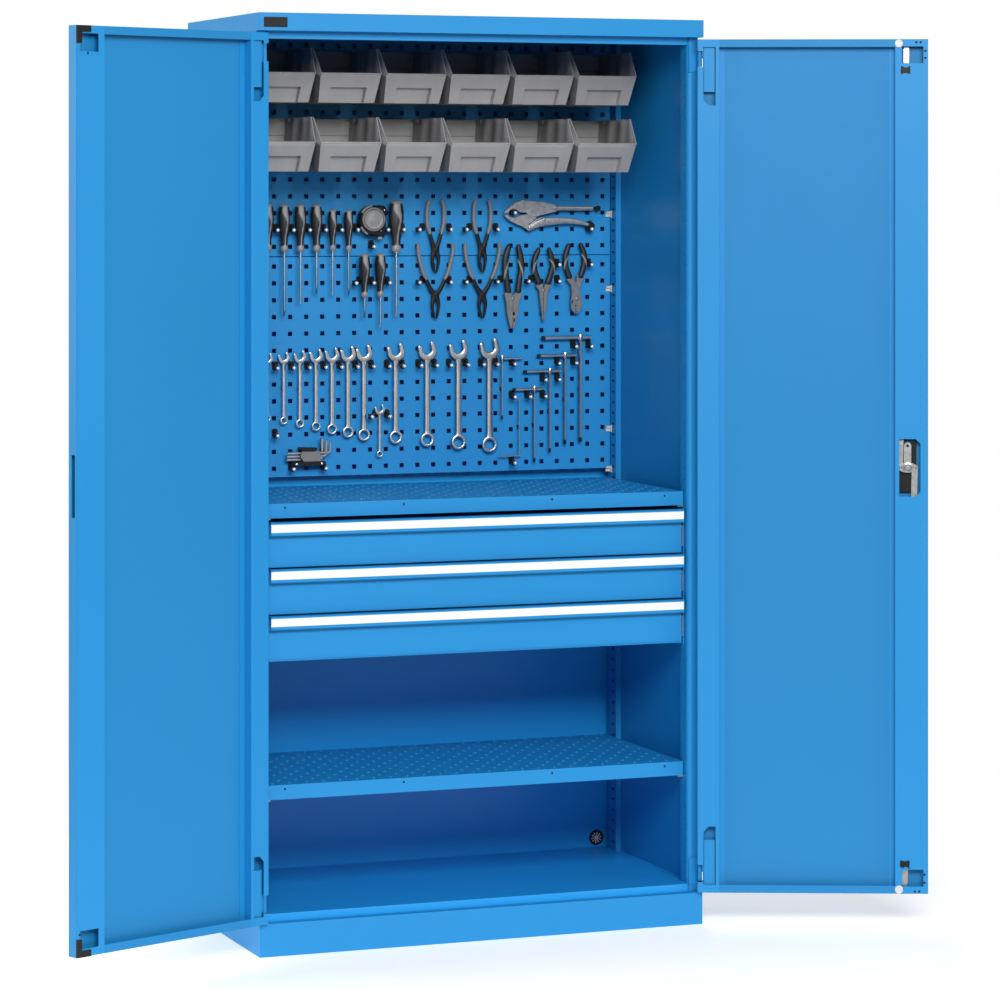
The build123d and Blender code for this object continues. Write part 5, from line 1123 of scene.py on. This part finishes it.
def make_hooks():
    """Hooks: a rounded foot on the panel beside the tool and an arm that bends out to a chrome ball."""
    arms, balls = [], []
    foot = rounded_box(13, 17, 4, 3)
    for k, z in HOOKS:
        left = (k, z) in LEFT_HOOKS
        moved_left = left or k in LEFT_COLUMNS
        x = column(k) - (6.0 if moved_left else 2.0)
        base = x + (17.0 if left else 5.0 if moved_left else 3.0)
        arms.append(slab(foot + (base, z + 6), PANEL_Y, PANEL_Y - 4.5))
        arms.append(turned([(5.2, 3.0), (5.2, 8.0), (3.8, 9.5), (0.0, 9.5)], (base, PANEL_Y, z + 7),
                           sides=14))
        line = curve([(base, PANEL_Y - 3, z + 7), (base * 0.75 + x * 0.25, PANEL_Y - 12, z + 6),
                      (base * 0.2 + x * 0.8, PANEL_Y - 25, z + 1.5), (x, PANEL_Y - HOOK_L + 1, z)], 9)
        arms.append(sweep(line, 3.4, 3.4, 10, facing=(0, 0.2, 1)))
        arms.append(turned([(0.0, 22.0), (5.4, 22.0), (6.3, 24.0), (6.3, 29.5), (4.6, 33.0), (0.0, 33.0)],
                           (x, PANEL_Y, z)))
        balls.append(ball((x, PANEL_Y - HOOK_L - 2.0, z), 4.5))
    build("hook_arms", arms + keeper_pads(), FINISH["black_plastic"], "carcass",
          stands_for=("tool_hooks",))
    build("hook_tips", balls, FINISH["ball_chrome"], "carcass", stands_for=("hook_balls",))


# ---------------------------------------------------------------- door and floor fittings
CAM_V, ROD_PIN_V, HANDLE_V = 5.1, 8.0, 45.4     # outward from the inner face: cam, rod pins and turn handle
BUMPER_U, BUMPER_HEIGHTS = 444.0, (81.5, 1947.5)
GUIDES = ((458.6, 1888.4), (457.0, 137.6))      # middles of the rod guides, u and z


def on_inner_face(profile, u, v, z, side=1, sides=24):
    """Surface of revolution whose axis points out of a door's inner face."""
    centre = on_door((u, v, z), side)
    return turned(profile, centre, on_door((u, v - 1.0, z), side) - centre, sides)


def make_lock_details():
    """Bolt and washer over the cam, a dome on each rod pin, and the key barrel in the outer handle."""
    rows = [(0.0, 0.0), (10.5, 0.0), (10.5, 0.9), (9.0, 1.4), (8.2, 1.4), (8.2, 3.2), (7.2, 4.2), (4.0, 4.3),
            (3.2, 3.6), (0.0, 3.5)]
    parts = [on_inner_face(rows, LOCK_U, CAM_V, LOCK_Z)]
    parts += [on_inner_face([(0.0, -0.6), (4.2, -0.6), (4.2, 0.2), (3.0, 1.1), (0.0, 1.4)],
                            LOCK_U + s * ROD_PIN_R, ROD_PIN_V, LOCK_Z) for s in (-1, 1)]
    build("lock_bolt", parts, FINISH["bright_steel"], "lock", sharp=30)
    rows = [(0.0, 0.4), (8.6, 0.4), (8.6, -1.2), (7.6, -1.8), (6.8, -1.0), (6.4, -0.6), (0.0, -0.5)]
    build("key_barrel", [on_inner_face(rows, LOCK_U, HANDLE_V, LOCK_Z)], FINISH["bright_steel"], "lock",
          sharp=30)
    # the key slot: a dark plate of painted shade in the handle
    slot = rounded_box(2.0, 8.0, 0.9, 3) + (LOCK_U, LOCK_Z)
    build("key_slot", [door_slab(slot, HANDLE_V - 0.2, HANDLE_V + 0.7)], FINISH["black_hole"], "lock")


def make_door_fittings():
    """Bumpers with a dished centre, the small holes of the free channels as dark discs of painted shade, and
    the guides' dark waists.
    """
    rows = [(0.0, 0.0), (9.0, 0.0), (9.0, 2.2), (8.3, 3.3), (7.0, 3.8), (5.9, 3.4), (5.0, 2.2), (3.4, 1.9),
            (2.4, 2.6), (0.0, 3.0)]
    build("bumper_caps", [on_inner_face(rows, BUMPER_U, 0.0, z, sides=32) for z in BUMPER_HEIGHTS],
          FINISH["bumper_white"], "door_right", stands_for=("door_bumpers",))
    rows = [(0.0, 0.15), (1.9, 0.15), (2.3, 0.28), (2.6, 0.0), (0.0, -0.4)]
    right = ((482.2, 1950.0), (492.1, 1950.0), (502.3, 1931.2), (502.3, 1915.4), (479.1, 76.9), (489.0, 76.9),
             (500.7, 114.0), (500.7, 96.4))
    left = ((478.1, 1900.9), (499.6, 117.8))
    build("holes_right", [on_inner_face(rows, u, 0.0, z, sides=12) for u, z in right], FINISH["black_hole"],
          "door_right")
    build("holes_left", [on_inner_face(rows, u, 0.0, z, -1, 12) for u, z in left], FINISH["black_hole"],
          "door_left")
    t = np.linspace(0, 2 * np.pi, 40, endpoint=False)
    narrow = 0.56 + 0.44 * np.abs(power_round(np.cos(t), 3.0))
    waist = np.column_stack([10.6 * power_round(np.cos(t), 4.0), 10.4 * power_round(np.sin(t), 4.0) * narrow])
    bows = [door_slab(waist + place, -0.25, 0.3) for place in GUIDES]
    build("guide_waists", bows, FINISH["black_plastic"], "door_right")


def make_rosette():
    """Cable rosette: a black ring, a sunk disc and ten pale petals that swell away from the middle."""
    x, y, z = 475.0, corner("back_panel", 0)[1], 108.0
    rows = [(0.0, -1.6), (13.6, -1.6), (13.6, 0.0), (17.8, 0.0), (18.0, 0.5), (17.0, 1.9), (15.2, 2.0),
            (14.4, 1.2), (0.0, 0.9)]
    build("rosette_ring", [turned(rows, (x, y, z), sides=48)], FINISH["black_plastic"], "carcass",
          stands_for=("cable_rosette",), sharp=30)
    petals = []
    for i in range(10):
        a = 2 * np.pi * (i + 0.25) / 10
        line = np.array([2.2, 6.0, 9.6, 12.4])[:, None] * [[math.sin(a), 0.0, math.cos(a)]] + (x, y - 1.0, z)
        petals.append(sweep(line, [0.7, 1.0, 1.5, 1.6], 0.7, 8))
    petals.append(turned([(0.0, 0.6), (3.6, 0.6), (3.2, 1.7), (0.0, 2.0)], (x, y, z), sides=20))
    build("rosette_petals", petals, FINISH["clip_grey"], "carcass")


# ---------------------------------------------------------------- stage
EYE = (-2.849, -8.063, 1.6149)                  # the photograph's eye point, in metres
EYE_TURN = -21.792                              # degrees from straight ahead
FRAME_SHIFT = (-0.09962, -0.30576)              # moves the level view left and down onto the cabinet
FLOOR_CLEAR_FROM, FLOOR_CLEAR_TO = 1.5, 2.8     # radii between which the floor fades, in metres
FLOOR_TONE, FLOOR_GLOW = (0.93, 0.93, 0.93), 0.36


def aimed(name, place, target, size, power):
    """Large soft rectangular light turned to a point."""
    light = bpy.data.lights.new(name, "AREA")
    light.shape = "RECTANGLE"
    light.size, light.size_y = size
    light.energy = power
    lamp = bpy.data.objects.new(name, light)
    bpy.context.scene.collection.objects.link(lamp)
    lamp.location = place
    toward = mathutils.Vector(target) - mathutils.Vector(place)
    lamp.rotation_euler = toward.to_track_quat("-Z", "Y").to_euler()


def make_camera(scene, lens):
    """Camera at the photograph's angle, level and shifted onto the cabinet."""
    camera = bpy.data.cameras.new("camera")
    camera.sensor_width = 36.0
    camera.lens = lens
    camera.shift_x, camera.shift_y = FRAME_SHIFT
    eye = bpy.data.objects.new("camera", camera)
    eye.location = EYE
    eye.rotation_euler = (math.radians(90), 0.0, math.radians(EYE_TURN))
    scene.collection.objects.link(eye)
    scene.camera = eye


def make_room(scene, ambient):
    """Even white light from all round; the camera itself sees plain white."""
    world = bpy.data.worlds.new("room")
    world.use_nodes = True
    scene.world = world
    tree = world.node_tree
    room = tree.nodes["Background"]
    room.inputs["Color"].default_value = (1.0, 1.0, 1.0, 1.0)
    room.inputs["Strength"].default_value = ambient
    seen = tree.nodes.new("ShaderNodeBackground")
    seen.inputs["Color"].default_value = (1.0, 1.0, 1.0, 1.0)
    rays = tree.nodes.new("ShaderNodeLightPath")
    blend = tree.nodes.new("ShaderNodeMixShader")
    tree.links.new(rays.outputs["Is Camera Ray"], blend.inputs[0])
    tree.links.new(room.outputs[0], blend.inputs[1])
    tree.links.new(seen.outputs[0], blend.inputs[2])
    tree.links.new(blend.outputs[0], tree.nodes["World Output"].inputs[0])


def make_floor(scene):
    """Flat floor disc: rings of points round the middle, closed by a small plate there."""
    radius = np.array([0.01, 0.6, 1.2, 1.8, 2.4, 3.0])[:, None]
    turn = np.linspace(0, 2 * np.pi, 64, endpoint=False)[None]
    points, faces = surface(np.stack([radius * np.cos(turn), radius * np.sin(turn), 0 * radius * turn], -1))
    middle = np.arange(turn.size)[None]
    mesh = bpy.data.meshes.new("floor")
    mesh.from_pydata(points.tolist(), [], [face for rows in (*faces, middle) for face in rows.tolist()])
    mesh.materials.append(floor_finish("pale_floor", FLOOR_TONE, FLOOR_CLEAR_FROM, FLOOR_CLEAR_TO, FLOOR_GLOW))
    floor = bpy.data.objects.new("floor", mesh)
    scene.collection.objects.link(floor)


def make_stage(stage):
    """Camera, soft lights from the front, both sides and behind, an even room and a pale floor."""
    scene = bpy.context.scene
    make_camera(scene, stage.lens)
    aimed("key", (-1.0, -6.2, 3.7), (0.0, 0.0, 1.0), (3.6, 2.0), stage.key)
    aimed("fill", (4.6, -4.4, 2.0), (0.0, -0.2, 0.9), (2.6, 3.0), stage.fill)
    aimed("left", (-5.0, 0.8, 2.4), (-0.5, 0.0, 1.0), (3.0, 3.0), stage.left)
    aimed("rear", (0.6, 5.5, 3.2), (0.0, 0.2, 0.9), (4.0, 3.0), stage.rear)
    make_room(scene, stage.ambient)
    scene.view_settings.view_transform = "Standard"
    make_floor(scene)


# ---------------------------------------------------------------- operators
class CabinetPiece(Operator):
    """Common ground of the cabinet's operators."""
    bl_options = {"REGISTER", "UNDO"}

    def execute(self, context):
        self.make(context.scene)
        return {"FINISHED"}


class CABINET_OT_finishes(CabinetPiece):
    """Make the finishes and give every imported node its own"""
    bl_idname = "cabinet.finishes"
    bl_label = "Finishes"

    def make(self, scene):
        make_finishes(scene.cabinet_paint)
        paint_nodes()


class CABINET_OT_shelf_bumps(CabinetPiece):
    """Add the bumps of both shelves, the painted shade in their holes and the folded lips between the panels
    """
    bl_idname = "cabinet.shelf_bumps"
    bl_label = "Shelf Bumps"

    def make(self, scene):
        sizes = scene.cabinet_pieces
        for node in ("shelf_upper", "shelf_lower"):
            make_bumps("bumps_" + node[6:], node, sizes.bump_pitch, sizes.bump_height)
        make_shelf_holes()
        make_panel_lips()


class CABINET_OT_bins(CabinetPiece):
    """Add both rows of storage bins"""
    bl_idname = "cabinet.bins"
    bl_label = "Storage Bins"

    def make(self, scene):
        sizes = scene.cabinet_pieces
        make_bins("bins_top", "bins_upper", 0.0, sizes.bin_wall, sizes.pocket)
        make_bins("bins_second", "bins_lower", BIN_ROW, sizes.bin_wall, sizes.pocket)


class CABINET_OT_wrenches(CabinetPiece):
    """Add the graded combination wrenches"""
    bl_idname = "cabinet.wrenches"
    bl_label = "Wrenches"

    def make(self, scene):
        make_wrenches(scene.cabinet_pieces.wrench_sides)


class CABINET_OT_drivers(CabinetPiece):
    """Add the screwdrivers"""
    bl_idname = "cabinet.drivers"
    bl_label = "Screwdrivers"

    def make(self, scene):
        make_drivers()


class CABINET_OT_pliers(CabinetPiece):
    """Add the pliers, the ring pliers and the locking pliers"""
    bl_idname = "cabinet.pliers"
    bl_label = "Pliers"

    def make(self, scene):
        make_pliers()
        make_ring_pliers()
        make_locking_pliers()


class CABINET_OT_keys(CabinetPiece):
    """Add the hexagon keys and their folding holder"""
    bl_idname = "cabinet.keys"
    bl_label = "Hexagon Keys"

    def make(self, scene):
        make_keys()
        make_key_holder()


class CABINET_OT_tape(CabinetPiece):
    """Add the tape measure"""
    bl_idname = "cabinet.tape"
    bl_label = "Tape Measure"

    def make(self, scene):
        make_tape()


class CABINET_OT_hooks(CabinetPiece):
    """Add the panel hooks with their chrome balls"""
    bl_idname = "cabinet.hooks"
    bl_label = "Panel Hooks"

    def make(self, scene):
        make_hooks()


class CABINET_OT_fittings(CabinetPiece):
    """Add the lock details, bumpers, the painted shade of the small holes, and rosette"""
    bl_idname = "cabinet.fittings"
    bl_label = "Small Fittings"

    def make(self, scene):
        make_lock_details()
        make_door_fittings()
        make_rosette()


class CABINET_OT_stage(CabinetPiece):
    """Set up the camera, the lights and the floor"""
    bl_idname = "cabinet.stage"
    bl_label = "Stage"

    def make(self, scene):
        make_stage(scene.cabinet_stage)


OPERATORS = (CABINET_OT_finishes, CABINET_OT_shelf_bumps, CABINET_OT_bins, CABINET_OT_wrenches,
             CABINET_OT_drivers, CABINET_OT_pliers, CABINET_OT_keys, CABINET_OT_tape, CABINET_OT_hooks,
             CABINET_OT_fittings, CABINET_OT_stage)
SETTINGS = (CabinetPaint, CabinetPieces, CabinetStage)


class CABINET_PT_sidebar(Panel):
    """Cabinet settings and pieces"""
    bl_label = "Workshop Cabinet"
    bl_idname = "CABINET_PT_sidebar"
    bl_space_type = "VIEW_3D"
    bl_region_type = "UI"
    bl_category = "Cabinet"

    def draw(self, context):
        for group in (context.scene.cabinet_paint, context.scene.cabinet_pieces, context.scene.cabinet_stage):
            box = self.layout.box()
            for key in group.__annotations__:
                box.prop(group, key)
        for operator in OPERATORS:
            self.layout.operator(operator.bl_idname)


def register():
    """Registers the settings, the operators and the panel."""
    for cls in (*SETTINGS, *OPERATORS, CABINET_PT_sidebar):
        bpy.utils.register_class(cls)
    bpy.types.Scene.cabinet_paint = PointerProperty(type=CabinetPaint)
    bpy.types.Scene.cabinet_pieces = PointerProperty(type=CabinetPieces)
    bpy.types.Scene.cabinet_stage = PointerProperty(type=CabinetStage)


def unregister():
    """Takes everything back in reverse."""
    del bpy.types.Scene.cabinet_stage
    del bpy.types.Scene.cabinet_pieces
    del bpy.types.Scene.cabinet_paint
    for cls in reversed((*SETTINGS, *OPERATORS, CABINET_PT_sidebar)):
        bpy.utils.unregister_class(cls)


def main():
    register()
    for operator in OPERATORS:
        group, name = operator.bl_idname.split(".")
        getattr(getattr(bpy.ops, group), name)()
    bpy.context.view_layer.update()


if __name__ == "__main__":
    main()
